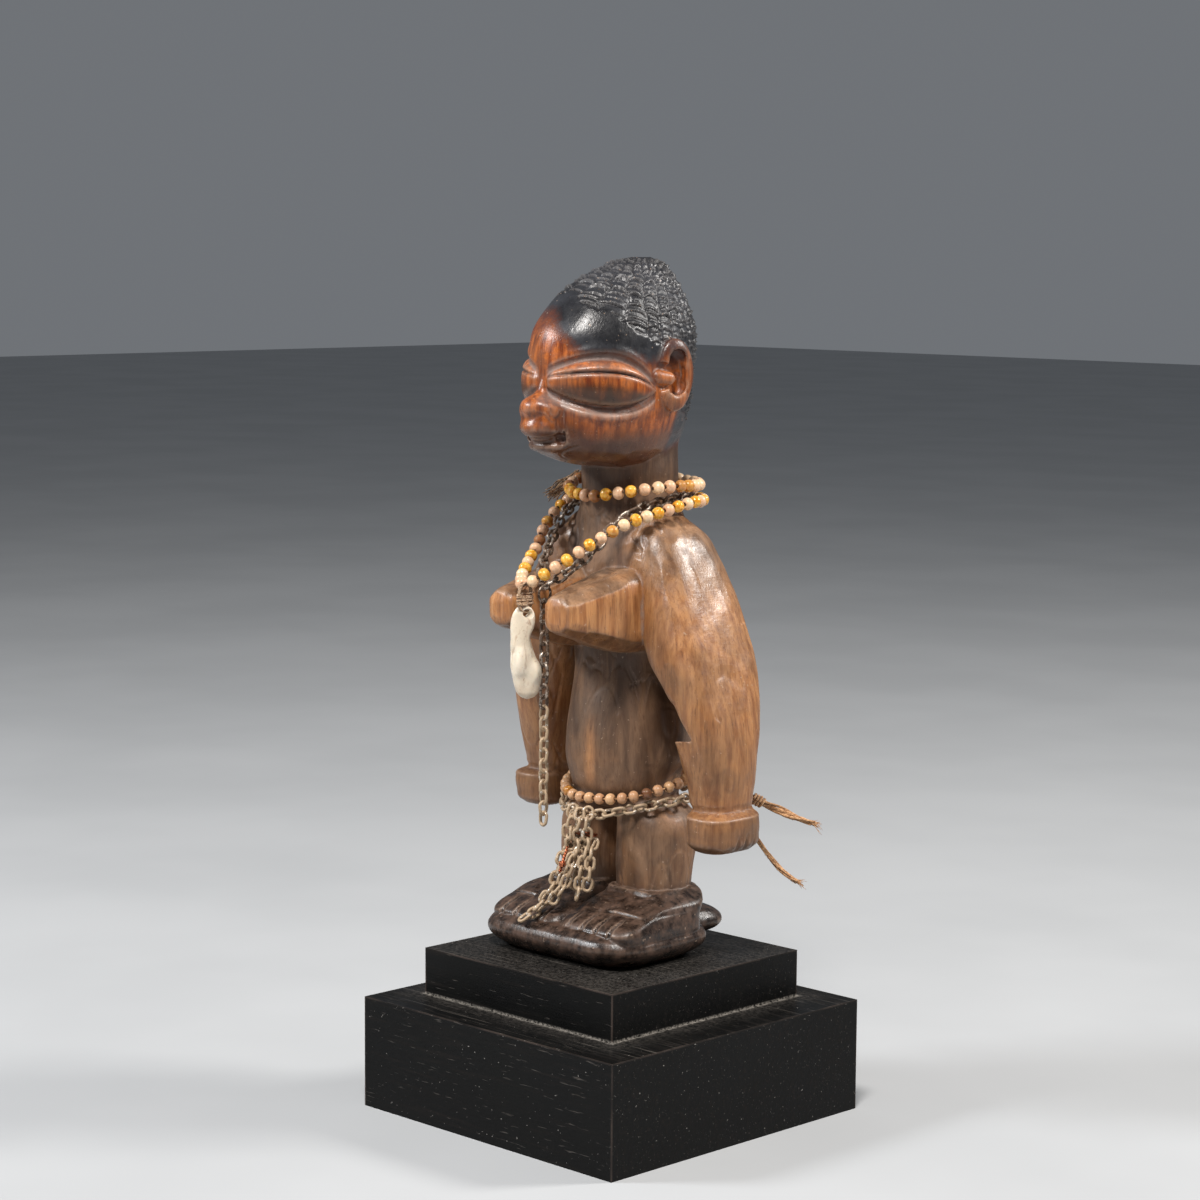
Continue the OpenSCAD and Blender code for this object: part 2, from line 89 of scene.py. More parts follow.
class Soup:
    """Gathers points, faces and values per point, and makes one object of them."""

    def __init__(self):
        self.points, self.quads, self.tris, self.values, self.n = [], [], [], {}, 0

    def add(self, points, quads, tris=(), **values):
        points = np.asarray(points, float)
        self.points.append(points)
        self.quads.append(np.asarray(quads, int).reshape(-1, 4) + self.n)
        self.tris.append(np.asarray(tris, int).reshape(-1, 3) + self.n)
        for name, value in values.items():
            self.values.setdefault(name, []).append(np.broadcast_to(np.asarray(value, float), len(points)))
        self.n += len(points)

    def tube(self, *path, **lay):
        self.add(*sweep(*path, **lay))

    def make(self, name, material, body, replaces=()):
        points = np.concatenate(self.points)
        quads, tris = np.concatenate(self.quads), np.concatenate(self.tris)
        mesh = bpy.data.meshes.new(name)
        mesh.vertices.add(len(points))
        mesh.vertices.foreach_set("co", (points * MM).astype(np.float32).ravel())
        corners = np.concatenate([quads.ravel(), tris.ravel()]).astype(np.int32)
        sizes = np.concatenate([np.full(len(quads), 4), np.full(len(tris), 3)])
        mesh.loops.add(len(corners))
        mesh.loops.foreach_set("vertex_index", corners)
        mesh.polygons.add(len(sizes))
        starts = np.concatenate([[0], np.cumsum(sizes)[:-1]]).astype(np.int32)
        mesh.polygons.foreach_set("loop_start", starts)
        mesh.polygons.foreach_set("use_smooth", np.ones(len(sizes), bool))
        mesh.update(calc_edges=True)
        for key, value in self.values.items():
            layer = mesh.attributes.new(key, "FLOAT", "POINT")
            layer.data.foreach_set("value", np.concatenate(value).astype(np.float32))
        mesh.materials.append(material)
        piece = bpy.data.objects.new(name, mesh)
        bpy.context.scene.collection.objects.link(piece)
        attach(piece, body)
        if replaces:
            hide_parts(*replaces)
        return piece


# Curves, laid as the part's own routes are


def between(a, b, c, d, t):
    bend, twist = 2 * a - 5 * b + 4 * c - d, 3 * b - a - 3 * c + d
    return 0.5 * (2 * b + (c - a) * t + bend * t * t + twist * t**3)


def closed_curve(route, steps=8):
    p = np.array(route, float)
    n = len(p)
    ends = [(p[i - 1], p[i], p[(i + 1) % n], p[(i + 2) % n]) for i in range(n)]
    return np.array([between(*four, k / steps) for four in ends for k in range(steps)])


def open_curve(route, steps=6):
    p = np.array(route, float)
    n = len(p)
    ends = [(p[max(i - 1, 0)], p[i], p[i + 1], p[min(i + 2, n - 1)]) for i in range(n - 1)]
    return np.array([between(*four, k / steps) for four in ends for k in range(steps)] + [p[-1]])


def walked(curve):
    return np.concatenate([[0], np.cumsum(np.linalg.norm(np.diff(curve, axis=0), axis=1))])


def at_distance(curve, along, s):
    return stack(*(np.interp(s, along, curve[:, k]) for k in range(3)))


def spaced_ring(route, count, gap=0.0, shift=0.0):
    """Places and directions round a closed route, evenly spaced."""
    loop = closed_curve(route)
    loop = np.vstack([loop, loop[:1]])
    along = walked(loop)
    whole = along[-1]
    pitch = (whole - gap) / count
    s = gap / 2 + (np.arange(count) + shift) * pitch
    ahead = at_distance(loop, along, (s + pitch * 0.4) % whole)
    behind = at_distance(loop, along, (s - pitch * 0.4) % whole)
    return at_distance(loop, along, s), unit(ahead - behind)


def ring_length(route):
    loop = closed_curve(route)
    return walked(np.vstack([loop, loop[:1]]))[-1]


def turned(axis, angle):
    """Rotation by an angle in degrees about X, Y or Z."""
    return np.array(Matrix.Rotation(math.radians(angle), 3, axis))


def aim(direction):
    """Turns +Z to a direction."""
    x, y, z = direction
    return turned("Z", math.degrees(math.atan2(y, x))) @ turned("Y", math.degrees(math.acos(z)))


def hang_down(direction):
    """Turns +Z to a direction near straight down, without turning about it."""
    x, y, z = direction
    return turned("Y", math.degrees(math.atan2(x, z)) + 180) @ turned("X", math.degrees(math.asin(y)))


def sweep(path, radius, sides=8, closed=False, lobes=0, depth=0.0, twist=0.0):
    """A tube along a path. lobes, depth and twist (turns per mm) lay it up as twisted plies."""
    path = np.asarray(path, float)
    n = len(path)
    radius = np.broadcast_to(np.asarray(radius, float), n)
    if closed:
        direction = unit(np.roll(path, -1, axis=0) - np.roll(path, 1, axis=0))
        along = np.linspace(0, walked(np.vstack([path, path[:1]]))[-1], n, endpoint=False)
    else:
        direction = unit(np.gradient(path, axis=0))
        along = walked(path)
    across = np.cross(direction[0], [0.0, 0.0, 1.0])
    if np.linalg.norm(across) < 0.2:
        across = np.cross(direction[0], [1.0, 0.0, 0.0])
    sides_list = []
    for d in direction:
        across = unit(across - d * (across @ d))
        sides_list.append(across)
    across = np.array(sides_list)
    up = np.cross(direction, across)
    if closed:  # spreads what the frame has turned by over the whole ring
        end = unit(across[-1] - direction[0] * (across[-1] @ direction[0]))
        off = math.atan2(end @ up[0], end @ across[0])
        turn = -off * np.arange(n) / n
        if lobes:
            twist = round(twist * along[-1]) / along[-1] if along[-1] else 0
    else:
        turn = np.zeros(n)
    angle = TAU * np.arange(sides) / sides
    local = angle[None, :] + turn[:, None]
    wave = 1 - depth + depth * np.cos(lobes * (angle[None, :] + TAU * twist * along[:, None]))
    r = radius[:, None] * (wave if lobes else 1.0)
    points = path[:, None] + (r * np.cos(local))[..., None] * across[:, None]
    points = (points + (r * np.sin(local))[..., None] * up[:, None]).reshape(-1, 3)
    i, k = np.meshgrid(np.arange(n if closed else n - 1), np.arange(sides), indexing="ij")
    a, b = i * sides + k, i * sides + (k + 1) % sides
    c, d = ((i + 1) % n) * sides + k, ((i + 1) % n) * sides + (k + 1) % sides
    quads = stack(a, b, d, c).reshape(-1, 4)
    tris = []
    if not closed:
        points = np.vstack([points, path[:1], path[-1:]])
        ring = np.arange(sides)
        start = stack(n * sides, (ring + 1) % sides, ring)
        last = (n - 1) * sides
        end = stack(n * sides + 1, last + ring, last + (ring + 1) % sides)
        tris = np.vstack([start, end])
    return points, quads, tris


# Materials


class Paint:
    """A short way to write a material's nodes. Its points are in metres in the object's own space."""

    def __init__(self, name, roughness=0.5, metallic=0.0, specular=0.5, sheen=0.0):
        self.material = bpy.data.materials.new(name)
        self.material.use_nodes = True
        self.tree = self.material.node_tree
        self.shader = self.tree.nodes["Principled BSDF"]
        self.fix({"Roughness": roughness, "Metallic": metallic})
        self.fix({"Specular IOR Level": specular, "Sheen Weight": sheen})
        self.place = self.node("TexCoord").outputs["Object"]

    def set(self, socket, value):
        """A socket's value, or a link to it. A colour of three parts is given as seen, 0 to 255."""
        if isinstance(value, bpy.types.NodeSocket):
            self.tree.links.new(value, socket)
        elif socket.type == "RGBA" and len(value) == 3:
            socket.default_value = (*(seen(c) for c in value), 1)
        else:
            socket.default_value = value

    def fix(self, values, node=None):
        for key, value in values.items():
            self.set((node or self.shader).inputs[key], value)

    def node(self, kind, values=None, **settings):
        made = self.tree.nodes.new("ShaderNode" + kind)
        for key, value in settings.items():
            setattr(made, key, value)
        self.fix(values or {}, made)
        return made

    def stretched(self, x, y, z):
        return self.node("Mapping", {"Scale": (x, y, z), "Vector": self.place}).outputs["Vector"]

    def noise(self, scale, detail=4.0, roughness=0.55, distortion=0.0, where=None):
        values = {"Scale": scale, "Detail": detail, "Roughness": roughness, "Distortion": distortion}
        return self.node("TexNoise", {**values, "Vector": where or self.place}).outputs["Fac"]

    def cells(self, scale):
        return self.node("TexVoronoi", {"Scale": scale, "Vector": self.place}).outputs["Distance"]

    def value(self, name):
        return self.node("Attribute", attribute_name=name).outputs["Fac"]

    def axes(self, value):
        return self.node("SeparateXYZ", {0: value}).outputs

    def range(self, value, low, high, to_low=0.0, to_high=1.0):
        values = {"Value": value, "From Min": low, "From Max": high, "To Min": to_low, "To Max": to_high}
        return self.node("MapRange", values, interpolation_type="SMOOTHSTEP").outputs["Result"]

    def math(self, operation, a, b=0.0, clamp=False):
        return self.node("Math", {0: a, 1: b}, operation=operation, use_clamp=clamp).outputs[0]

    def plus(self, a, b, clamp=False):
        return self.math("ADD", a, b, clamp)

    def times(self, a, b):
        return self.math("MULTIPLY", a, b)

    def mix(self, share, a, b):
        return self.node("Mix", {"Factor": share, 6: a, 7: b}, data_type="RGBA").outputs[2]

    def over(self, colour, *layers):
        """Lays colours over a colour, each by its share."""
        for share, layer in layers:
            colour = self.mix(share, colour, layer)
        return colour

    def bump(self, height, distance, strength=1.0):
        values = {"Strength": strength, "Distance": distance, "Height": height}
        return self.node("Bump", values).outputs["Normal"]

    def done(self, colour, roughness=None, normal=None, metallic=None):
        values = {"Base Color": colour, "Roughness": roughness, "Normal": normal, "Metallic": metallic}
        self.fix({key: value for key, value in values.items() if value is not None})
        return self.material


def seen(c):
    """A colour's part as seen, 0 to 255, as the shader takes it."""
    return ((c / 255 + 0.055) / 1.055) ** 2.4 if c > 10 else c / 255 / 12.92


def twine_paint(name, pale, dark, scale=1.0):
    p = Paint(name, roughness=0.88, specular=0.2, sheen=0.35)
    strands = p.noise(900 * scale, 3, 0.6)
    fibres = p.cells(1500 * scale)
    colour = p.mix(p.range(strands, 0.35, 0.7), dark, pale)
    colour = p.mix(p.range(p.noise(160 * scale), 0.5, 0.8, 0, 0.5), colour, dark)
    return p.done(colour, normal=p.bump(p.plus(strands, p.times(fibres, 0.6)), 0.0003, 0.8))


# The twine's two loose ends

TWINE = twine_paint("twine", (224, 178, 132), (150, 106, 70))

TWINE_UPPER = [
    [6.4, 46, 120], [9.8, 49.8, 118.4], [13.6, 54, 115.6], [18, 58.8, 112], [24, 64.2, 108.4],
    [30, 69.8, 105.2], [35, 75, 102.4],
]
TWINE_LOWER = [
    [3.4, 46.4, 118.2], [6.4, 49.8, 114.6], [11, 54.4, 108], [15.6, 58.6, 100], [20, 62, 92.6], [24, 65, 86.4],
    [28, 68, 82], [31, 70.5, 79.8],
]


def make_twine(name, route, diameter, turns, seed, node, knotted=None):
    """A loosely laid twine, with a fray of loose fibres at its tip."""
    curve = open_curve(route, 3)
    along = walked(curve)
    line = at_distance(curve, along, np.linspace(0, along[-1], 90))
    body = Soup()
    body.tube(line, diameter / 2, 15, lobes=3, depth=0.13, twist=turns)
    piece = body.make(name, TWINE, FIXED, [node])
    rng = np.random.default_rng(seed)
    fray = Soup()
    tip, ahead = line[-1], unit(line[-1] - line[-6])
    t = np.linspace(0, 1, 6)[:, None]
    for _ in range(22):
        start = tip - ahead * rng.uniform(0.2, 2.5) + rng.normal(0, diameter * 0.22, 3)
        spread = unit(ahead * 2.2 + rng.normal(0, 0.8, 3)) * rng.uniform(1.8, 4.2)
        fray.tube(start + spread * t + rng.normal(0, 0.5, 3) * t * t, np.linspace(0.13, 0.05, 6), 5)
    # Strands that have come loose of the lay, and single fibres
    ahead = np.gradient(line, axis=0)
    ahead /= np.linalg.norm(ahead, axis=1)[:, None]
    beside = np.cross(ahead, [0, 0, 1])
    above = np.cross(beside, ahead)
    s = np.linspace(0, 1, 90)[:, None]
    for k in range(7):
        turn = TAU * (k / 7 + rng.uniform(0.7, 1.3) * s)
        swell = diameter * (0.68 + 0.16 * np.sin(TAU * (s * rng.uniform(1.5, 3) + rng.uniform())))
        strand = line + swell * (beside * np.cos(turn) + above * np.sin(turn))
        fray.tube(strand[: int(rng.uniform(74, 90))], diameter * 0.23, 6)
    if knotted:
        turn = np.linspace(0, TAU * 3.2, 70)[:, None]
        coil = at_distance(curve, along, along[-1] * np.linspace(*knotted, 70))
        coil = coil + 1.15 * diameter * (beside[30] * np.cos(turn) + above[30] * np.sin(turn))
        fray.tube(coil, diameter * 0.36, 10, lobes=3, depth=0.15, twist=0.3)
    for _ in range(40):
        at = rng.uniform(0.05, 0.95) * along[-1]
        start = at_distance(curve, along, at)
        spread = unit(rng.normal(0, 1, 3)) * diameter * 0.5
        run = unit(at_distance(curve, along, min(at + 3, along[-1])) - start)
        drift = unit(rng.normal(0, 1, 3)) * rng.uniform(0.3, 1.4)
        fray.tube(start + spread + run * rng.uniform(2, 4.5) * t + drift * t * t, 0.055, 5)
    loose = fray.make(name + "_fibres", TWINE, FIXED)


make_twine("twine_upper", TWINE_UPPER, 1.8, 0.11, 3, "twine_end_upper", (0.41, 0.5))
make_twine("twine_lower", TWINE_LOWER, 1.5, 0.08, 4, "twine_end_lower")


# The carved figure's shape, as a distance field about its own axis (u to its left, v to its back, z up)

FIGURE = np.array([-8.0, 16.0, 0.0])
TOP = 59.25


def ease(x, low, high):
    t = np.clip((x - low) / (high - low), 0, 1)
    return t * t * (3 - 2 * t)


def join(a, b, k):
    """The union of two shapes, with a fillet about k wide."""
    h = np.clip(0.5 + 0.5 * (b - a) / k, 0, 1)
    return b + (a - b) * h - k * h * (1 - h)


def cut(a, b, k):
    """Shape a with shape b taken out of it."""
    return -join(-a, b, k)


def bell(x, width):
    return np.exp(-((x / width) ** 2))


def smooth_at(z, knots, values):
    """A smooth curve through values at knots, and its slope, both at z."""
    slopes = np.gradient(values, knots)
    i = np.clip(np.searchsorted(knots, z, side="right") - 1, 0, len(knots) - 2)
    h = knots[i + 1] - knots[i]
    t = (np.clip(z, knots[0], knots[-1]) - knots[i]) / h
    a, b, sa, sb = values[i], values[i + 1], slopes[i] * h, slopes[i + 1] * h
    value = a * (2 * t**3 - 3 * t**2 + 1) + b * (3 * t**2 - 2 * t**3) + sa * (t**3 - 2 * t**2 + t)
    value = value + sb * (t**3 - t**2)
    slope = (6 * t**2 - 6 * t) * (a - b) + sa * (3 * t**2 - 4 * t + 1) + sb * (3 * t**2 - 2 * t)
    return value, slope / h


def loft(at, sections, power=2.2):
    """Distance to a body through sections, each [u, v, z, half width, half depth]."""
    u, v, z = at
    s = np.array(sections, float)
    (u0, du), (v0, dv), (a, da), (b, db) = (smooth_at(z, s[:, 2], s[:, k]) for k in (0, 1, 3, 4))
    x, y = (u - u0) / a, (v - v0) / b
    px, py = np.abs(x) ** (power - 1), np.abs(y) ** (power - 1)
    tx, ty = px * np.abs(x), py * np.abs(y)
    r = (tx + ty) ** (1 / power) + 1e-6
    k = r ** (1 - power)
    gx, gy = k * px / a, k * py / b
    gz = k * (tx * da / a + ty * db / b) + gx * np.sign(x) * du + gy * np.sign(y) * dv
    side = (r - 1) / np.maximum(np.sqrt(gx * gx + gy * gy + gz * gz), 0.02)
    return np.maximum(side, np.maximum(s[0, 2] - z, z - s[-1, 2]))


def ball(at, middle, radii):
    """Distance to an ellipsoid."""
    q = [x - m for x, m in zip(at, middle)]
    k0, k1 = (np.sqrt(sum((x / r**n) ** 2 for x, r in zip(q, radii))) + 1e-6 for n in (1, 2))
    return k0 * (k0 - 1) / k1


def rod(at, a, b, r, r2=None):
    """Distance to a rounded rod from a to b."""
    a, b = np.array(a, float), np.array(b, float)
    ab = b - a
    q = [x - s for x, s in zip(at, a)]
    h = np.clip(sum(x * d for x, d in zip(q, ab)) / (ab @ ab), 0, 1)
    away = np.sqrt(sum((x - d * h) ** 2 for x, d in zip(q, ab)))
    return away - (r if r2 is None else r + (r2 - r) * h)


ARM = [
    [49.8, -1, 102.4, 7.6, 11], [49.8, -1, 104.4, 9.6, 13.6], [49.8, -1, 108, 10.2, 14.2],
    [49.8, -1, 113.4, 10.1, 14.1], [49.4, -0.8, 115.2, 9.9, 13.9], [48.2, 0.4, 116.6, 8.3, 12.2],
    [47.4, 0.6, 120, 8.6, 12.2], [47.2, 0.6, 126, 9.4, 13], [46, 0.6, 135, 10.6, 15], [44, 1, 146, 11.6, 18],
    [41, 1, 158, 12.2, 20.4], [36.6, 1, 171, 12.8, 22.4], [31, 1, 186, 13, 21.6], [25.6, 1, 198, 13, 20.6],
    [20.6, 1, 208, 13, 18.8], [16.6, 0.6, 216, 12, 15.4], [13, 0, 222, 9, 10],
]


def arm_field(at, side, spread, lift):
    """An arm of the figure's left (side 1) or right (-1), drawn in by spread and raised by lift at its hand."""
    u, v, z = at
    arm = []
    for u0, v0, z0, a, b in ARM:
        low = max(0, 1 - (z0 - 101) / 100)
        arm.append([side * (u0 - spread * low), v0, z0 + lift * low, a, b])
    d = loft(at, arm, 2.7)
    if side > 0:
        # The upper arm is cut back in front, down to a notch over the elbow
        line = np.interp(z, [141, 144, 155, 163.6, 172, 180, 190], [28.4, 27.8, 22, 16.7, 11, 1, -16])
        floor = 142.1 + 0.185 * (0.706 * u - 0.708 * v - 36.7)
        d = cut(d, np.maximum((0.708 * u + 0.706 * v + 5.6 - line) * 0.86, floor - z), 0.5)
    at = (side * u + spread * 0.86 - 49.8, v, z - lift * 0.9)
    # Fingers, curled under at the hand's back and outside
    for v0 in (-4.2, 0.2, 4.6, 9):
        d = cut(d, rod(at, (9.4, v0, 99.6), (10.6, v0 + 1.6, 108.4), 1.9, 0.6), 0.6)
    # Thumb, a flat band down the front
    return cut(d, rod(at, (7.4, -15, 101), (6.2, -14.6, 112), 0.9, 0.5), 0.6)


SLAB = [
    [-1, -15, TOP, 31.5, 21.5], [-1, -15, TOP + 1.6, 34.6, 24.6], [-1, -15, TOP + 3.8, 37.4, 27.2],
    [-1, -15, TOP + 6.4, 38.7, 28.5], [-1, -15, TOP + 9.2, 38.3, 28.1], [-1, -15, TOP + 11.2, 36.6, 26.4],
    [-1, -14.8, TOP + 12.6, 33.4, 23.4], [-1, -14.4, TOP + 13.4, 28, 19],
]
HEEL = [
    [2, 14, TOP + 4, 19, 12], [2, 14, TOP + 6, 22.4, 15.6], [2, 14, TOP + 11.6, 22.4, 16],
    [2, 12.6, TOP + 13.4, 20.6, 14.4], [2, 12, TOP + 14.4, 18, 12],
]
FOOT = [
    [18, -16, -2, 18.8, 21.8], [18, -16, 0, 19.1, 22.1], [18, -15.9, 2.6, 19, 22], [18, -15, 4.2, 18.7, 20.8],
    [17.8, -11, 6.8, 18.2, 18], [17.4, -6.4, 9.8, 17, 15.6], [16.2, -2.4, 12, 14.8, 13.8],
    [14.8, -1.6, 14, 12.6, 12.8],
]
LEG = [
    [14.5, -1.5, TOP + 15, 12.2, 12.4], [14.5, -0.6, 84, 13.2, 13.2], [14.5, 0, 92, 13.8, 13.8],
    [14.5, 1, 99, 13.8, 15.2], [14.5, 2, 106, 13.6, 16.2], [13.6, 1.8, 110, 12.6, 15.6],
    [11.9, 1, 114, 10.4, 13.6], [10.2, 0.5, 118, 8.4, 10.8],
]
TORSO = [
    [0, 1.5, 112.4, 13, 12], [0, 0.8, 115, 17.4, 15.8], [0, 0, 118.4, 19.4, 18.2], [0, -1, 124, 20.6, 19.4],
    [0, -2, 132, 21.6, 20.2], [0, -2, 140, 21.6, 20.2], [0, -1.8, 152, 20.6, 18.4], [0, -1.2, 164, 20, 16.6],
    [0, -0.6, 176, 22.6, 16.8], [0, -1, 188, 27, 19], [0, -0.6, 200, 29, 19.4], [0, 0, 210, 27, 18.6],
    [0, 0.4, 219, 22, 17.8], [0, 0.2, 227, 17.8, 17.6], [0, 0, 240, 17.3, 17.3], [0, 0, 252, 16.9, 16.9],
]
BREAST = [
    [13.4, -188.6, 6, 13, 15.6], [13.9, -188.4, 24, 12.6, 14.8], [14.4, -188.6, 35, 10.4, 11.8],
    [14.6, -189, 45, 8, 8.6], [14.6, -189.2, 50.6, 6.4, 6.8], [14.6, -189.2, 52.6, 5, 5.4],
    [14.6, -189.2, 53.4, 3, 3.2],
]
HEAD = [
    [0, -8.6, 240.6, 11.4, 14], [0, -10.6, 242.4, 15.4, 21], [0, -12.4, 245, 18.4, 28],
    [0, -13.4, 249, 20.8, 32], [0, -12.6, 255, 22.6, 34], [0, -11.2, 262, 23.8, 34.8],
    [0, -10.2, 269, 24, 35.2], [0, -9.8, 276, 23.8, 35.6], [0, -9.2, 283, 23.5, 36.2],
    [0, -8.2, 290, 22.9, 35.2], [0, -6.3, 298, 20.4, 30.8], [0, -3.6, 306, 16.6, 24],
    [0, 0.6, 312.2, 11.4, 15.8], [0, 3.4, 315.4, 7.2, 9.6], [0, 4.6, 316.9, 3.2, 4.2],
]


def parts_of(u, v, z):
    """Distances to the figure's main parts, leaving out those far above or below."""
    at = (u, v, z)
    near = (np.abs(u), v, z)
    low, high = float(np.min(z)), float(np.max(z))

    def met(from_z, to_z):
        return high > from_z - 5 and low < to_z + 5

    parts = {}
    if met(TOP, TOP + 15):
        # A low heel block stands behind the feet
        parts["slab"] = join(loft(at, SLAB, 4.4), loft(at, HEEL, 4), 1.2)
    if met(TOP + 10, TOP + 25):
        f = TOP + 11
        foot = loft(near, [[a, b, c + f, d, e] for a, b, c, d, e in FOOT], 5.5)
        for i in range(4):
            # A groove between two toes: up the front, and back over the top
            x = 17.6 + (i - 1.5) * 7.1
            foot = cut(foot, rod(near, (x, -38.3, f - 1), (x, -37.6, f + 2.8), 0.75), 0.35)
            foot = cut(foot, rod(near, (x, -37.4, f + 3.2), (x * 0.98, -28.2, f + 7.4), 0.75, 0.5), 0.35)
        parts["foot"] = cut(foot, rod(near, (1, -27.4, f + 8.5), (35.5, -26.4, f + 7.2), 0.6, 0.4), 0.6)
    if met(TOP + 15, 118):
        parts["leg"] = loft(near, LEG, 2.3)
    if met(112, 252):
        # The loins: the belly stays broad behind the elbows
        loins = ease(z, 124, 134) * (1 - ease(z, 149, 161)) * ease(0.708 * near[0] + 0.706 * v, 8, 20)
        parts["torso"] = loft(at, TORSO, 2.25) - 3.8 * loins
    if met(173, 205):
        # Breasts: four-sided cones with rounded tips, held out straight
        breast = loft((near[0], -z, -v), BREAST, 3.6)
        out = np.interp(-v, [6, 24, 35, 45, 51, 54], [16.8, 15.6, 12.5, 9.2, 7.4, 5.2])
        bevel = (0.62 * np.abs(near[0] - 14.2) + 0.785 * np.abs(z - 188.9) - out) * 0.96
        parts["breast"] = cut(breast, -bevel, 0.5)
    if met(102, 222):
        parts["arm_near"] = arm_field(at, 1, 0, 0)
        parts["arm_far"] = arm_field(at, -1, 11, 6)
    if met(240, 318):
        parts["head"] = loft(at, HEAD, 2.1)
        parts["ear"] = ear_field(near)
    return parts


def ear_field(near):
    """A rim around a deep hollow, open to the front, with a nub before its hole."""
    x, v, z = near
    x = x - 22.7 - 0.16 * (v + 8)
    y, h = v + 2.7, z - 274.2
    r = np.sqrt((y / 5.5) ** 2 + (h / 9.3) ** 2)
    around = np.abs(r - 1) * 6.4 / np.maximum(r, 0.4)
    rim = np.sqrt(around**2 + np.maximum(np.abs(x - 0.4) - 1.1, 0) ** 2) - 1.9
    plate = np.maximum((r - 1) * 6.4, np.abs(x + 1.9) - 1.8)
    ear = join(rim, plate, 0.8)
    at = (y, h, x)
    # A shallow upper hollow, undercut at its foot, and a deeper one below
    ear = cut(ear, ball(at, (0.2, 5.4, 2.2), (4.0, 4.2, 2.6)), 0.6)
    ear = cut(ear, rod(at, (-2.4, 1.7, 0.6), (3.2, 1.9, 0.9), 1.1), 0.4)
    ear = cut(ear, ball(at, (0.9, -3.4, 1.2), (3.6, 4.4, 3.0)), 0.5)
    ear = cut(ear, ball(at, (-6.2, -0.6, 2.6), (3.6, 5.2, 2.4)), 0.8)
    ear = join(ear, rod(at, (-7.6, -0.7, 0.6), (-3.2, -1.3, 1.5), 3.0, 2.5), 0.3)
    return cut(ear, ball(at, (-2.6, -5.6, 0.6), (2.3, 1.7, 2.6)), 0.4)


def face_field(near):
    """The nose and the mouth."""
    block = ball(near, (0, -43.6, 257.2), (8.9, 8.6, 7.6))
    lip = ball(near, (0, -45.0, 255.4), (8.6, 8.0, 4.2))
    low_lip = ball(near, (0, -42.6, 248.7), (8.2, 5.6, 2.7))
    nose = ball(near, (0, -46.9, 262.6), (6.6, 6.6, 4.6))
    wing = ball(near, (4.8, -44.8, 261.0), (4.2, 5.6, 3.9))
    bridge = rod(near, (0, -45.6, 264), (0, -43.6, 273.5), 3.0, 1.8)
    nose = join(join(nose, wing, 2.2), bridge, 3)
    face = join(join(join(lip, low_lip, 0.5), nose, 0.5), block, 1.2)
    # The mouth's line, and the line under the nose
    face = cut(face, rod(near, (0, -51.2, 251.4), (8.6, -46.2, 251.6), 0.9, 1.1), 0.5)
    return cut(face, rod(near, (0, -54.0, 258.8), (7.2, -50.2, 258.2), 0.3, 0.45), 0.4)


# The parts in the order they are joined, and the fillet of each
FILLETS = {"torso": 0, "leg": 1.6, "breast": 0.8, "arm_near": 1, "arm_far": 1}
FILLETS |= {"slab": 0.7, "foot": 0.5, "head": 1.2}


def figure_field(u, v, z):
    p = parts_of(u, v, z)
    near = (np.abs(u), v, z)
    if "head" in p:
        head = join(p["head"], face_field(near), 0.7)
        # A deep hole at each corner of the mouth, and a crease up beside the nose
        head = cut(head, ball(near, (8.3, -44.4, 251.6), (1.8, 3.4, 2.2)), 0.5)
        head = cut(head, rod(near, (9.2, -43.0, 252), (9.2, -42.8, 260.5), 0.55, 0.35), 0.5)
        p["head"] = join(head, p["ear"], 0.6)
    d = None
    for name, k in FILLETS.items():
        if name in p:
            d = p[name] if d is None else join(d, p[name], k)
    return d


def by_height(work, points, slab=9.0):
    """Does work on points a slab of height at a time."""
    out = np.empty(len(points))
    level = np.floor(points[:, 2] / slab).astype(int)
    for k in np.unique(level):
        here = np.nonzero(level == k)[0]
        out[here] = work(*points[here].T)
    return out


# A mesh of the field: nets of quads over a coarse grid, split finer and pulled onto the surface


def net(field, low, high, cell):
    axes = [np.arange(a, b + cell, cell) for a, b in zip(low, high)]
    u, v, z = (x.reshape(shape) for x, shape in zip(axes, ((-1, 1, 1), (1, -1, 1), (1, 1, -1))))
    levels = (z[..., k : k + 10] for k in range(0, z.size, 10))
    f = np.concatenate([field(u, v, level).astype(np.float32) for level in levels], axis=2)
    flat = np.arange(f.size).reshape(f.shape)
    step = [f.shape[1] * f.shape[2], f.shape[2], 1]
    total = np.zeros((f.size, 3), np.float32)
    count = np.zeros(f.size, np.int32)
    quads = []
    for axis, (o1, o2) in enumerate(((1, 2), (0, 2), (0, 1))):
        a, b = np.moveaxis(f, axis, 0)[:-1], np.moveaxis(f, axis, 0)[1:]
        a, b = np.moveaxis(a, 0, axis), np.moveaxis(b, 0, axis)
        hit = np.nonzero((a < 0) != (b < 0))
        fa, fb = a[hit], b[hit]
        point = stack(*hit).astype(np.float32)
        point[:, axis] += fa / (fa - fb)
        inside = (hit[o1] > 0) & (hit[o2] > 0)
        base = flat[hit]
        cells = [c[inside] for c in (base, base - step[o1], base - step[o1] - step[o2], base - step[o2])]
        for c in cells:
            count += np.bincount(c, minlength=f.size)
            for k in range(3):
                total[:, k] += np.bincount(c, point[inside, k], f.size)
        ring = stack(*cells)
        out = (fa[inside] < 0) ^ (axis == 1)
        quads.append(np.where(out[:, None], ring, ring[:, ::-1]))
    quads = np.concatenate(quads)
    used = np.unique(quads)
    number = np.full(f.size, -1, np.int64)
    number[used] = np.arange(len(used))
    points = total[used] / count[used, None] * cell + np.array([a[0] for a in axes])
    return points.astype(float), number[quads]


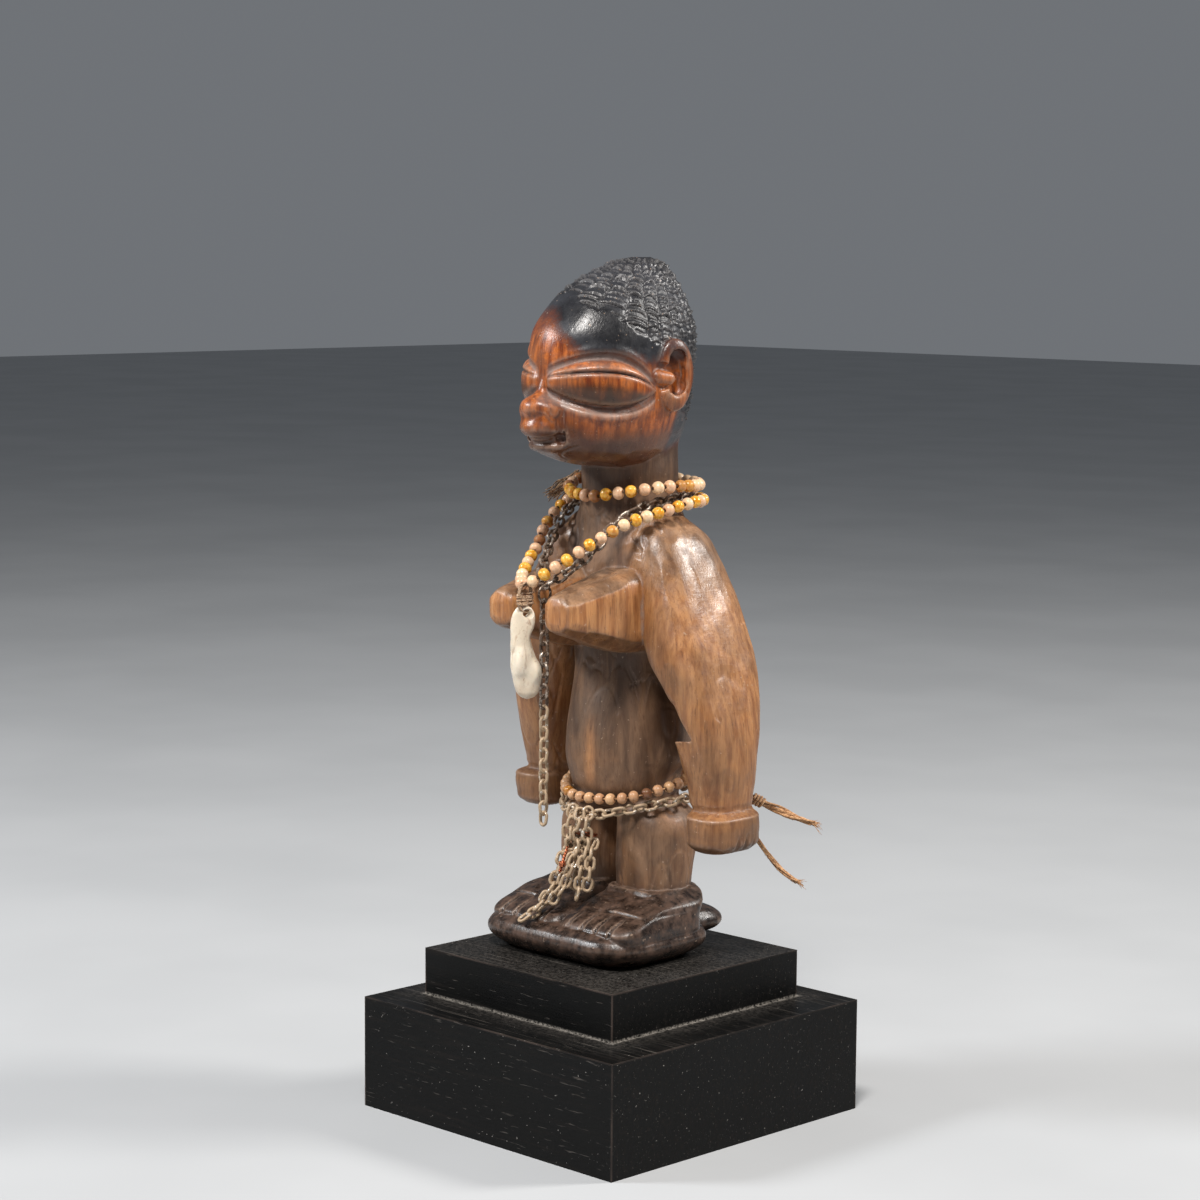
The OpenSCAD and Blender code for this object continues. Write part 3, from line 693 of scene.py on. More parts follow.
def edges_of(quads):
    e = np.concatenate([quads[:, [k, (k + 1) % 4]] for k in range(4)])
    e.sort(axis=1)
    return np.unique(e, axis=0)


def split(points, quads):
    """Every quad becomes four."""
    n = len(points)
    corner = np.concatenate([quads[:, [k, (k + 1) % 4]] for k in range(4)])
    corner.sort(axis=1)
    edges, back = np.unique(corner[:, 0] * n + corner[:, 1], return_inverse=True)
    ends = stack(edges // n, edges % n)
    back = back.reshape(4, -1) + n
    middle = n + len(ends) + np.arange(len(quads))
    new = [stack(quads[:, k], back[k], middle, back[k - 1]) for k in range(4)]
    points = np.vstack([points, points[ends].mean(axis=1), points[quads].mean(axis=1)])
    return points, np.concatenate(new)


def averaged(values, edges, n, times):
    """Values, or points, smoothed over the mesh."""
    a, b = np.concatenate([edges[:, 0], edges[:, 1]]), np.concatenate([edges[:, 1], edges[:, 0]])
    degree = np.bincount(a, minlength=n)
    values = np.asarray(values, float)
    wide = values.reshape(n, -1)
    for _ in range(times):
        around = stack(*(np.bincount(a, wide[b, k], n) for k in range(wide.shape[1])))
        wide = 0.4 * wide + 0.6 * around / degree[:, None]
    return wide.reshape(values.shape)


def pulled(field, points, quads, times):
    """Moves points along the mesh's normals onto the field's surface."""
    step = 0.15
    for _ in range(times):
        normal = normals_of(points, quads)
        here = by_height(field, points)
        steep = np.maximum((by_height(field, points + normal * step) - here) / step, 0.45)
        points = points + normal * np.clip(-here / steep, -0.6, 0.6)[:, None]
    return points


def skin(field, low, high, cell, times):
    """The field's surface as points and quads."""
    points, quads = net(field, low, high, cell)
    points = pulled(field, averaged(points, edges_of(quads), len(points), 1), quads, 1)
    points, quads = split(points, quads)
    return pulled(field, averaged(points, edges_of(quads), len(points), 1), quads, times), quads


def normals_of(points, quads):
    d1 = points[quads[:, 2]] - points[quads[:, 0]]
    d2 = points[quads[:, 3]] - points[quads[:, 1]]
    face = np.cross(d1, d2)
    out = np.zeros_like(points)
    for k in range(4):
        for axis in range(3):
            out[:, axis] += np.bincount(quads[:, k], face[:, axis], len(points))
    return unit(out)


# What the knife left on it


def facets(points, normal, where, spacing, depth, reach, seed, stretch=(1, 1, 1)):
    """Shallow flat cuts, as a knife leaves. stretch makes them long along an axis."""
    rng = np.random.default_rng(seed)
    inside = np.nonzero(where > 0.3)[0]
    kept, seeds = np.empty((0, 3)), []
    for i in rng.choice(inside, min(len(inside), 6000), replace=False):
        if not len(kept) or np.min((((kept - points[i]) / stretch) ** 2).sum(axis=1)) > spacing**2:
            kept = np.vstack([kept, points[i]])
            seeds.append(i)
    local = points[inside].copy()
    for i in seeds:
        n = unit(normal[i] + rng.normal(0, 0.04, 3))
        deep = depth * rng.uniform(0.4, 1.2) * where[i]
        off = local - points[i]
        away = ((off / stretch) ** 2).sum(axis=1)
        close = np.nonzero(away < reach**2)[0]
        over = off[close] @ n + deep * (1 - away[close] / reach**2)
        taken = np.clip(over, 0, None) * (1 - ease(over, 2 * depth, 3.5 * depth))
        local[close] -= n * taken[:, None]
    points = points.copy()
    points[inside] = local
    return points


def round_head(points):
    """How far round the head each point lies, in degrees from the nose to either side."""
    return np.degrees(np.arctan2(np.abs(points[:, 0]), -(points[:, 1] + 9.5)))


def eye_lines(theta):
    """Heights of an eye's upper edge, slit and lower edge, and how open it is there."""
    t = np.clip((theta - 3) / 82, 0, 1)
    base = 273.9 - 4.9 * t
    lid = np.sin(math.pi * t)
    low = np.sin(math.pi * (0.12 + 0.88 * t)).clip(0) ** 0.75
    return t, base + 8.2 * lid**0.85, base + 4.0 * lid, base - 8.3 * low, lid


def hairline(theta, left):
    """Height where the hair starts, round the head, lower in front on the left side than on the right."""
    front = np.where(left, 304.0 - 0.3 * ease(theta, 4, 26) * 18, 304.6 - 0.07 * theta)
    side = 302.3 - 0.187 * theta
    front = front + (side - front) * ease(theta, 24, 70)
    behind = 285.3 - ease(theta, 104, 128) * 25 - ease(theta, 128, 150) * 4
    return np.where(theta < 96, front, behind)


def head_cuts(points):
    """How far each point of the head stands out for the eyes and the hair, where the hair is, and the slit."""
    u, v, z = points.T
    theta = round_head(points)
    on_head = ease(z, 238, 242)
    t, upper, slit, lower, lid = eye_lines(theta)
    w = np.clip((z - lower) / np.maximum(upper - lower, 0.5), 0, 1)
    opened = np.sin(math.pi * (0.02 + 0.95 * t)).clip(0) ** 0.6
    front = (1 - ease(theta, 82, 87)) * ease(theta, 1.5, 6)
    bulge = 4.0 * opened * (1 - np.abs(2 * w - 1) ** 2.6).clip(0) ** 0.8
    bulge += 0.7 * lid * np.sin(math.pi * np.clip((z - slit) / np.maximum(upper - slit, 0.5), 0, 1))
    bulge -= 1.2 * lid**0.4 * bell(z - slit, 0.5)
    above, below = z - upper, lower - z
    groove = -1.2 * opened * ease(above, 0, 0.6) * (1 - ease(above, 1.8, 3.2))
    groove += 0.5 * opened * bell(above - 4.0, 1.6)
    groove -= 1.2 * opened * bell(below - 0.3, 0.6)
    groove -= 1.0 * opened * ease(below, 0, 0.5) * (1 - ease(below, 1.9, 3.2))
    groove += 0.95 * opened * bell(below - 4.2, 1.8)
    out = (bulge + groove) * front * on_head * np.where(u < 0, 0.66, 1.0)
    # Hair: rows of gouge cuts from the crown down to the hairline
    line = hairline(theta, u > 0) + 0.5 * np.sin(theta * 0.35) + 0.3 * np.sin(theta * 0.9 + 1)
    hair = ease(z, line - 0.4, line + 0.5)
    rows = 25
    q = np.degrees(np.arctan2(u, -(v - 4))) / (360 / rows) + 0.5
    away = np.hypot(u, v - 4)
    q = q + 0.1 * np.sin(away * 0.55 + 1.3) + 0.06 * np.sin(away * 1.3)
    row = np.floor(q)
    a = q - row - 0.5
    wide = away * TAU / rows
    polar = np.arctan2(away, z - 276)
    s = 39 * polar
    jitter = np.sin(row * 12.9898) * 43.7
    jitter -= np.floor(jitter)
    pitch = 2.35 + 0.4 * jitter
    wander = 0.5 * np.sin(s * 0.7 + jitter * 20) + 0.3 * np.sin(s * 2.1 + row * 2)
    phase = s / pitch + jitter * 3 - (2.0 + 0.8 * np.sin(row * 5.1)) * a * a + wander * 0.35
    scale = phase - np.floor(phase)
    uneven = 0.75 + 0.35 * np.sin(np.floor(phase) * 2.4 + row * 1.7)
    between_rows = bell((np.abs(a) - 0.5) * wide, 0.45)
    fade = ease(away, 3, 8)
    cup = scale**1.5 * (1 - 0.75 * (2 * np.abs(a)) ** 3)
    hair_out = -0.75 + fade * (1.25 * cup * uneven - 0.45 * between_rows) + 0.3 * (1 - fade)
    out = out + hair * hair_out
    return out, hair, bell(z - slit, 0.7) * lid**0.5 * front * (theta < 86)


def make_figure_mesh():
    cell = 1.06
    points, quads = skin(figure_field, (-53, -57, TOP - 1.2), (62, 33, 319), cell, 3)
    normal = normals_of(points, quads)
    share = {}
    for name in ("slab", "foot", "leg", "torso", "breast", "arm_near", "arm_far", "head", "ear"):

        def distance(u, v, z, name=name):
            return np.broadcast_to(parts_of(u, v, z).get(name, 30.0), u.shape)

        share[name] = np.exp(-np.clip(by_height(distance, points), 0, 30) / 0.6)
    total = sum(share.values()) + 1e-9
    # The nose and lips lie off every part, and belong to the head
    share = {k: d / np.maximum(total, 1) for k, d in share.items()}
    u, v, z = points.T
    share["head"] = np.where((z > 242) & (share["ear"] < 0.3), 1 - share["torso"] - share["ear"], share["head"])
    arms = share["arm_near"] + share["arm_far"]
    shoulder = arms * ease(z, 176, 196)
    for where, *cuts in (
        (shoulder, 7.5, 0.3, 9, 21, (1, 1, 2.8)),
        (arms * (1 - shoulder), 8, 0.16, 11, 17, (1, 1, 2.2)),
        (share["breast"], 8, 0.14, 9, 12, (1, 2, 1)),
        ((share["torso"] + share["leg"]) * (z < 225), 8, 0.14, 10, 13, (1, 1, 1.8)),
        (share["foot"] * (z > TOP + 18), 6, 0.12, 8, 16),
        (share["head"] * (z < 262) * 0.8, 7, 0.16, 8, 15),
    ):
        points = facets(points, normal, where, *cuts)
    out, hair, slit = (value * share["head"] for value in head_cuts(points))
    points = points + normal * out[:, None]
    # The whole is a little uneven, and the floor of the slab is flat
    wave = np.sin(u * 0.21 + v * 0.17 + 1.1) * np.sin(z * 0.16 + 0.4)
    wave = wave + 0.5 * np.sin(u * 0.43 - z * 0.37) * np.sin(v * 0.39 + 2)
    points = points + normal * (0.16 * wave * (1 - hair))[:, None]
    points[:, 2] = np.maximum(points[:, 2], TOP)
    return points, quads, share, hair, slit


def wear_and_shade_values(points, quads, share, hair, slit):
    """Values per point that the paint reads: hollows, ridges, painted shade and highlights, and where each
    colour lies.
    """
    n, edges, normal = len(points), edges_of(quads), normals_of(points, quads)
    near = averaged(points, edges, n, 6)
    wide = averaged(near, edges, n, 26)
    fine_hollow, broad_hollow = (((smooth - points) * normal).sum(axis=1) for smooth in (near, wide))
    u, v, z = points.T
    theta = round_head(points)
    _, upper, eye_slit, lower, lid = eye_lines(theta)
    slab, foot, leg, torso, breast, arm_near, arm_far, head, ear = share.values()
    arms = arm_near + arm_far
    # The brown of the brow runs up the forehead's middle, and a little past it on the far side
    to_left = np.where(u > 0, theta, -theta)
    on_side = np.maximum(ease(to_left, -6, 33), ease(-to_left, 30, 60))
    black_from = 296.5 - 15 * on_side - 3 * ease(theta, 60, 80) + 6 * ease(theta, 100, 130)
    black = np.maximum((head + ear * 0.55) * ease(z, black_from - 6.5, black_from + 6), hair)
    black = np.maximum(black, head * (ease(theta, 108, 122) * ease(z, 236, 250)) * 0.8)
    brown = head * (1 - black)
    jaw = 1 - ease(z, 248, 258)
    # A painted highlight on the belly, to the left
    belly_highlight = bell(0.708 * u + 0.706 * v + 14.2, 2.2) * ease(u - v, 0, 9)
    belly_highlight = belly_highlight * torso * ease(z, 119, 126) * (1 - ease(z, 140, 152))
    # Warm wood: less on the jaw, painted shade there; less on the breasts' upper faces, so paler, a painted
    # highlight there; more on the belly's painted highlight
    warm = brown * (1 - 0.85 * jaw) + ear * 0.7 + arms * (0.7 - 0.5 * ease(z, 190, 208))
    warm = warm + breast * (0.85 - 0.8 * ease(normal[:, 2], 0.3, 0.7)) + torso * 0.05 + leg * 0.2 + 0.7 * belly_highlight
    dark = slab + foot + 0.3 * leg * (1 - ease(z, 80, 92))
    # Deep: the torso darker, partly its darker wood and partly painted shade under the breasts and arms, and
    # darker up the neck; painted shade on the jaw and on the breasts' lower faces; the legs darker; the arms
    # darker towards the hands
    deep = torso * (0.5 + 0.3 * ease(z, 150, 176) - 0.3 * ease(z, 200, 210) + 0.4 * ease(z, 224, 234))
    deep = deep + 0.9 * head * jaw * (1 - black) + 0.7 * breast * ease(-normal[:, 2], 0.2, 0.7)
    deep = deep * (1 - belly_highlight) + 0.3 * leg
    hand, palm, sleeve = (1 - ease(z, *levels) for levels in ((113, 119), (103, 108), (120, 165)))
    deep = deep + arms * (0.35 * hand + 0.35 * palm + 0.25 * sleeve)
    # Painted shade in the eye's lower half and beside the mouth
    grime_and_shade = ease(eye_slit - z, 2.6, 6.2) * ease(z, lower - 0.5, lower + 0.3) * (theta < 88)
    grime_and_shade = grime_and_shade + bell(theta - 18, 9) * bell(z - 252, 6)
    deep = deep + 1.1 * head * (1 - black) * np.clip(grime_and_shade, 0, 1)
    # Painted shade in the ear's upper hollow
    deep = deep + ear * ease(broad_hollow, 0.1, 0.7) * 0.8 * (z > 271)
    # Red: painted shade in the hollows of the face and arms, redder low on the face, and the dark red band
    # below the black
    red = brown * (ease(broad_hollow, 0.2, 0.9) + 0.5 * (1 - ease(z, 250, 262)))
    red = red + brown * ease(z, 283, 295) * 1.2 + 0.5 * arms * ease(broad_hollow, 0.15, 0.7)
    # Pale bands about each eye: dust in the groove above it, and below it partly dust and partly a painted
    # highlight on the cheek's top
    ring = bell(z - upper - 1.4, 1.2) + bell(lower - z - 2.3, 1.7)
    ring = ring * head * (theta < 88) * (theta > 2) * lid**0.25
    polish = head + ear + (0.55 + 0.45 * ease(z, 178, 200)) * arms + 0.8 * breast + 0.5 * slab + 0.5 * foot
    values = {"red": red, "tan": arms + breast + torso + leg, "black": black, "hair": hair, "warm": warm}
    values |= {"dark": dark, "deep": deep, "ring": ring, "slit": slit, "polish": polish}
    values = {name: np.clip(value, 0, 1) for name, value in values.items()}
    dust = np.clip(ease(fine_hollow, 0.06, 0.2) + 0.5 * ease(broad_hollow, 0.5, 1.6), 0, 1)
    values["hollow"] = dust * (1 - 0.9 * black) * (1 - 0.6 * values["dark"])
    # Paler ridges: rubbed wood, partly painted highlights; on the hair, the scales' pale edges
    ridge, sharp = ease(-fine_hollow, 0.04, 0.16), ease(-fine_hollow, 0.1, 0.3)
    values["ridge"] = ridge * (1 - values["black"]) + 0.7 * hair * sharp
    return values


def carved_paint():
    p = Paint("carved_wood")
    along = p.stretched(1, 1, 0.1)
    grain = p.noise(420, 6, 0.6, 0.3, along)
    fine_grain = p.noise(1500, 3, 0.6, 0.0, along)
    cloud = p.noise(45, 5, 0.6, 0.5)
    spots = p.noise(260, 4, 0.65)
    scratch = p.noise(900, 2, 0.5, 1.5, p.stretched(1, 0.12, 0.35))
    streak = p.noise(130, 4, 0.6, 0.6, p.stretched(1, 1, 0.22))
    dark, hollow, hair = p.value("dark"), p.value("hollow"), p.value("hair")
    # Bare wood, from dull brown to warm brown, streaked with its grain
    dull = p.mix(p.range(streak, 0.3, 0.7), (86, 61, 42), (152, 117, 88))
    rich = p.mix(p.range(grain, 0.32, 0.7), (100, 40, 12), (190, 104, 42))
    tan = p.mix(p.range(grain, 0.3, 0.72), (140, 86, 46), (194, 138, 88))
    rich = p.over(rich, (p.range(spots, 0.45, 0.75, 0, 0.65), (84, 34, 14)), (p.value("tan"), tan))
    # Feet and slab nearly black, rubbed brown; hair blue-black, through dark red to the bare wood
    earth = p.mix(p.range(spots, 0.35, 0.7), (32, 22, 17), (84, 64, 52))
    ink = p.mix(p.range(cloud, 0.35, 0.7), (24, 24, 27), (48, 49, 54))
    edge = p.plus(p.value("black"), p.range(spots, 0.3, 0.7, -0.1, 0.1), True)
    colour = p.over(
        p.mix(p.plus(p.value("warm"), p.range(cloud, 0.3, 0.7, -0.3, 0.25), True), dull, rich),
        # Painted shade, and the darker wood of the torso, by the deep value
        (p.times(p.value("deep"), p.range(streak, 0.25, 0.75, 1.0, 0.65)), (62, 42, 28)),
        # Red: painted shade in hollows, and the red below the black
        (p.times(p.value("red"), 0.7), (84, 34, 18)),
        (p.range(fine_grain, 0.52, 0.72, 0, 0.45), (70, 38, 20)),
        (p.range(grain, 0.6, 0.8, 0, 0.35), (56, 34, 20)),
        (dark, earth),
        (p.range(edge, 0.0, 0.5, 0, 0.85), (70, 32, 24)),
        (p.range(edge, 0.35, 0.85), ink),
        # Pale dust in the hollows, painted shade in the slits, rubbed ridges that are partly painted highlights
        (p.times(hollow, p.range(spots, 0.3, 0.6, 0.1, 0.6)), (118, 102, 92)),
        # Pale bands about the eyes: dust, and below the eyes partly a painted highlight
        (p.times(p.value("ring"), p.range(spots, 0.25, 0.6, 0.45, 0.95)), (142, 124, 116)),
        (p.times(p.value("slit"), 0.85), (44, 22, 14)),
        (p.times(p.value("ridge"), 0.25), p.mix(hair, (190, 160, 138), (166, 162, 160))),
        (p.range(p.noise(700, 2, 0.5), 0.7, 0.74, 0, 0.5), (176, 150, 128)),
    )
    rough = p.plus(p.range(p.value("polish"), 0, 1, 0.5, 0.31), p.range(spots, 0.3, 0.7, -0.06, 0.12))
    rough = p.plus(rough, p.times(hollow, 0.3), True)
    rough = p.plus(p.math("SUBTRACT", rough, p.times(dark, 0.1)), p.times(hair, 0.06))
    height = p.plus(p.plus(p.times(fine_grain, 0.5), p.times(scratch, 0.4)), p.times(spots, 0.5))
    return p.done(colour, rough, p.bump(height, 0.0004, 0.4))


def make_figure():
    points, quads, *worn = make_figure_mesh()
    soup = Soup()
    soup.add(points + FIGURE, quads, **wear_and_shade_values(points, quads, *worn))
    soup.make("figure", carved_paint(), FIXED, ["carved_figure"])


make_figure()


# Plinth


def plinth_paint():
    """Black stained open-grained wood: pores run along X, dust lies in the step's corner."""
    p = Paint("plinth_wood", specular=0.16)
    pores = p.noise(520, 5, 0.6, 0.15, p.stretched(0.05, 1, 1))
    dashes = p.noise(1300, 2, 0.5, 0.0, p.stretched(0.09, 1, 1))
    cloud = p.noise(40, 4, 0.6)
    x, y, z = p.axes(p.place)
    facing_up = p.range(p.axes(p.node("NewGeometry").outputs["Normal"])[2], 0.7, 0.95)
    grit = p.range(p.noise(900, 3, 0.7), 0.35, 0.68)
    lower, upper = (0, 0, 0.065, 0, 0.04175), (-0.0037, 0.0037, 0.0492, 0.04175, 0.05925)

    def beyond(middle_x, middle_y, half):
        """How far out of a square block's sides, and of the nearer pair, a point lies."""
        pair = [
            p.math("SUBTRACT", p.math("ABSOLUTE", p.math("SUBTRACT", axis, middle)), half)
            for axis, middle in ((x, middle_x), (y, middle_y))
        ]
        return p.math("MAXIMUM", *pair), p.math("MINIMUM", *pair)

    out, _ = beyond(*upper[:3])
    near_step = p.times(p.range(out, 0.0001, 0.0022, 1, 0), p.range(z, 0.0412, 0.0417))
    near_step = p.times(near_step, p.range(z, 0.0419, 0.0428, 1, 0))
    haze = p.times(p.range(out, 0.0, 0.014, 0.32, 0), facing_up)
    haze = p.plus(haze, p.times(p.range(p.noise(150, 5, 0.75), 0.5, 0.85, 0, 0.25), facing_up))
    scuffs = p.times(p.range(p.noise(900, 4, 0.6, 0.4, p.stretched(0.03, 1, 1)), 0.58, 0.72), facing_up)
    colour = p.over(
        p.mix(p.range(cloud, 0.3, 0.7), (3, 3, 3), (8, 8, 7)),
        (p.range(pores, 0.5, 0.72, 0, 0.4), (34, 29, 26)),
        (p.range(dashes, 0.66, 0.76, 0, 0.55), (84, 78, 72)),
        (p.range(p.noise(1100, 1, 0.5), 0.77, 0.8, 0, 0.8), (168, 164, 158)),
        (p.times(grit, near_step), (150, 144, 136)),
        (p.times(haze, grit), (92, 87, 82)),
        (p.times(scuffs, 0.4), (104, 98, 92)),
    )
    # Edges a little paler: worn, and partly a painted highlight along them
    for *square, low, high in (lower, upper):
        side, post = beyond(*square)
        here = p.times(p.math("GREATER_THAN", z, low + 0.0003), p.math("LESS_THAN", z, high + 0.0003))
        rim = p.times(p.range(side, -0.0007, -0.0002), p.range(z, high - 0.0007, high - 0.0002))
        worn = p.times(p.math("MAXIMUM", rim, p.range(post, -0.0007, -0.0002)), here)
        colour = p.mix(p.times(worn, p.range(cloud, 0.35, 0.7, 0.05, 0.38)), colour, (104, 90, 82))
    rough = p.plus(p.range(cloud, 0.3, 0.7, 0.38, 0.52), p.range(pores, 0.4, 0.7, 0, 0.12))
    height = p.math("SUBTRACT", p.times(pores, 0.6), p.range(dashes, 0.66, 0.78))
    return p.done(colour, rough, p.bump(height, 0.00025, 0.6))


def softened(node):
    bevel = node.modifiers.new("edges", "BEVEL")
    bevel.width, bevel.segments, bevel.limit_method = 0.0005, 3, "ANGLE"
    bevel.angle_limit = math.radians(50)
    bevel.harden_normals = False


def painted(name, material):
    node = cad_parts[name]
    node.data.materials.clear()
    node.data.materials.append(material)
    return node


def steel_paint():
    p = Paint("plain_steel", metallic=1.0, roughness=0.35)
    turning = p.noise(2500, 3, 0.6, 0.0, p.stretched(0.2, 0.2, 1))
    colour = p.mix(p.range(turning, 0.3, 0.7), (120, 118, 114), (170, 168, 163))
    return p.done(colour, p.range(turning, 0.3, 0.7, 0.25, 0.45), p.bump(turning, 0.00005, 0.5))


PLINTH = plinth_paint()
for block in ("plinth_lower_block", "plinth_upper_block"):
    softened(painted(block, PLINTH))
STEEL = steel_paint()
for hidden in ("block_screws", "mount_pins"):
    painted(hidden, STEEL)


# Bead strands

COLLAR = [
    [-8, -5, 229.5], [9, 1, 232], [16, 15, 233.4], [13, 30, 232.8], [2, 41, 232.6], [-14, 43, 233.5],
    [-27, 36, 235.5], [-32.5, 20, 235.5], [-27, 3, 231],
]
PENDANT_STRAND = [
    [-8, -37.5, 199], [-3.5, -35, 201.8], [3, -28, 208], [8, -20, 213.8], [12, -12, 218.8], [15, -4, 222],
    [17, 5, 224.2], [18, 14, 226], [17.5, 24, 227.2], [12.5, 34, 227], [2, 41.6, 226.8], [-12, 43.4, 226.8],
    [-25, 38, 227], [-32.5, 27, 227], [-34, 13, 226.2], [-33, 4, 223.4], [-31, -5, 217], [-28, -12, 210.5],
    [-24, -20, 205.8], [-18.5, -28.5, 202], [-12.5, -35, 199.8],
]
CHAIN = [
    [-8, -27.8, 198.6], [-3.4, -27, 200.4], [1.6, -22.4, 205], [4.6, -15, 211.2], [4.8, -7.6, 217.6],
    [7, -0.4, 222.8], [10.8, 6.4, 226.4], [12.6, 16, 228.2], [11.4, 25, 228.8], [7, 33, 228.6],
    [-2, 37.4, 228.2], [-14, 37.4, 228.2], [-23.6, 31.4, 228.4], [-28.4, 22, 228.4], [-28.6, 10, 225.8],
    [-27, 0, 220.8], [-24, -8, 214.2], [-19.4, -16, 207.8], [-15.4, -22.4, 203], [-12, -26.6, 199.8],
]
WAIST = [
    [-8, -6.6, 117.6], [5, -3.6, 118.2], [14, 5, 120.4], [17.2, 16, 123], [14, 29, 124], [4, 37, 123],
    [-10, 39.6, 122], [-23, 35, 122.5], [-30, 25, 123.5], [-31.4, 13, 122], [-26.6, 2, 119.4], [-18, -4.6, 118],
]
WAIST_CHAIN = [
    [-8, -7, 111.4], [1, -6, 112.4], [9, -1, 114.4], [15.4, 7.4, 116.2], [18.4, 17, 117.2], [15, 29, 117.6],
    [5, 37.4, 117.2], [-10, 40, 116.8], [-24, 35.6, 117], [-31.6, 24, 117.4], [-32.4, 13, 116.2],
    [-27, 1.4, 114], [-18.4, -5.4, 112],
]
BEAD_HOLE = 1.6


def bead(diameter, length, flat):
    """A drilled bead along Z, a little flattened at its hole."""
    r, hole, sides = diameter / 2, BEAD_HOLE / 2, 20
    start = math.asin(min(hole / r, 0.9))
    angle = np.linspace(start, math.pi - start, 11)
    ring_z = length / 2 * np.cos(angle) * (1 - flat * np.abs(np.cos(angle)) ** 3)
    ring_r = np.concatenate([r * np.sin(angle), [hole * 0.96, hole * 0.96]])
    ring_z = np.concatenate([ring_z, [ring_z[-1] * 0.8, ring_z[0] * 0.8]])
    a = TAU * np.arange(sides) / sides
    points = stack(ring_r[:, None] * np.cos(a), ring_r[:, None] * np.sin(a), ring_z[:, None]).reshape(-1, 3)
    i, k = np.meshgrid(np.arange(len(ring_r)), np.arange(sides), indexing="ij")
    b, c = (k + 1) % sides, (i + 1) % len(ring_r)
    return points, stack(i * sides + k, c * sides + k, c * sides + b, i * sides + b).reshape(-1, 4)


def bead_strand(name, route, diameter, kinds, gap, seed, material, node):
    rng = np.random.default_rng(seed)
    count = int((ring_length(route) - gap) / (diameter + 0.06))
    soup = Soup()
    for k, (place, direction) in enumerate(zip(*spaced_ring(route, count, gap, 0.5))):
        size, long = diameter * rng.uniform(0.93, 1.03), diameter * rng.uniform(0.9, 1.0)
        points, quads = bead(size, long, rng.uniform(0, 0.12))
        points = points * (1 + rng.normal(0, 0.012, 3))
        turn = aim(unit(direction + rng.normal(0, 0.07, 3))) @ turned("Z", rng.uniform(0, 360))
        points = points @ turn.T + place + rng.normal(0, 0.08, 3)
        soup.add(points, quads, kind=kinds(k, place, rng), tone=rng.uniform())
    soup.make(name, material, FIXED, [node])


def bead_paint(name, cream, pink, amber, honey, dirt):
    """Opaque cream beads and clear amber ones, chosen by each bead's kind."""
    p = Paint(name)
    tone, kind = p.value("tone"), p.value("kind")
    cloud = p.noise(700, 3, 0.6)
    solid = p.mix(p.range(cloud, 0.45, 0.75, 0, 0.5), p.mix(tone, cream, pink), dirt)
    clear = p.mix(p.range(tone, 0.5, 0.9), p.mix(p.range(cloud, 0.4, 0.6), amber, honey), dirt)
    pits = p.range(p.noise(2600, 2, 0.5), 0.64, 0.7)
    colour = p.mix(p.times(pits, 0.35), p.mix(kind, solid, clear), dirt)
    p.fix({"Subsurface Radius": (0.0016, 0.0009, 0.0004), "Subsurface Scale": 1.0})
    p.fix({"Subsurface Weight": p.times(kind, 0.5)})
    rough = p.plus(p.range(kind, 0, 1, 0.24, 0.1), p.range(cloud, 0.4, 0.7, 0, 0.15))
    return p.done(colour, rough, p.bump(p.plus(cloud, pits), 0.00008, 0.6))


NECK_BEADS = bead_paint(
    "neck_beads", (238, 204, 164), (220, 172, 136), (208, 142, 34), (236, 184, 84), (168, 118, 78)
)
WAIST_BEADS = bead_paint(
    "waist_beads", (212, 168, 124), (188, 140, 104), (176, 112, 34), (206, 152, 84), (116, 80, 56)
)


def alternate(k, place, rng):
    return float(k % 2) if rng.uniform() < 0.93 else float(rng.uniform() < 0.5)


def collar_kind(k, place, rng):
    """The near side is nearly all cream, the front has amber among it."""
    return float(rng.uniform() < (0.5 if place[1] < 0 or place[0] < -12 else 0.08))


def waist_kind(k, place, rng):
    return float(rng.uniform() < 0.16)


bead_strand("collar", COLLAR, 4.8, collar_kind, 0, 21, NECK_BEADS, "collar_beads")
bead_strand(
    "pendant_strand", PENDANT_STRAND, 4.8, alternate, 1.6, 22, NECK_BEADS, "pendant_beads"
)
bead_strand("waist_strand", WAIST, 4.4, waist_kind, 0, 23, WAIST_BEADS, "waist_beads")

THREAD = twine_paint("thread", (122, 98, 72), (58, 42, 30), 1.6)
THREAD_WIDTH = 0.7


def ring_thread(name, route, material, node):
    soup = Soup()
    soup.tube(spaced_ring(route, 260)[0], THREAD_WIDTH / 2, 8, closed=True, lobes=2, depth=0.15, twist=0.5)
    soup.make(name, material, FIXED, [node])


ring_thread("collar_cord", COLLAR, THREAD, "collar_thread")
ring_thread("pendant_cord", PENDANT_STRAND, THREAD, "pendant_thread")
ring_thread("waist_cord", WAIST, TWINE, "waist_twine")


# Chains


def link_line(length, width, wire, steps=26):
    """The middle line of a link with straight sides, standing in the XZ plane."""
    r, angle = (width - wire) / 2, circle(steps)
    z = r * np.sin(angle)
    return stack(r * np.cos(angle), 0 * z, z + np.sign(z) * (length - width) / 2)


LINK_L, LINK_W, WIRE = 6.0, 4.5, 1.22


def add_link(soup, place, turn, rng, skew=4.0):
    line = link_line(LINK_L, LINK_W, WIRE)
    line[:, 1] += 0.12 * rng.normal() * np.sin(2 * np.arctan2(line[:, 2], line[:, 0]))
    x, y, z = (turned(axis, rng.normal(0, skew)) for axis in "XYZ")
    points, quads, tris = sweep(line, WIRE / 2, 9, closed=True)
    points = points @ (turn @ (x @ y @ z)).T + place + rng.normal(0, 0.05, 3)
    soup.add(points, quads, tris, tone=rng.uniform())


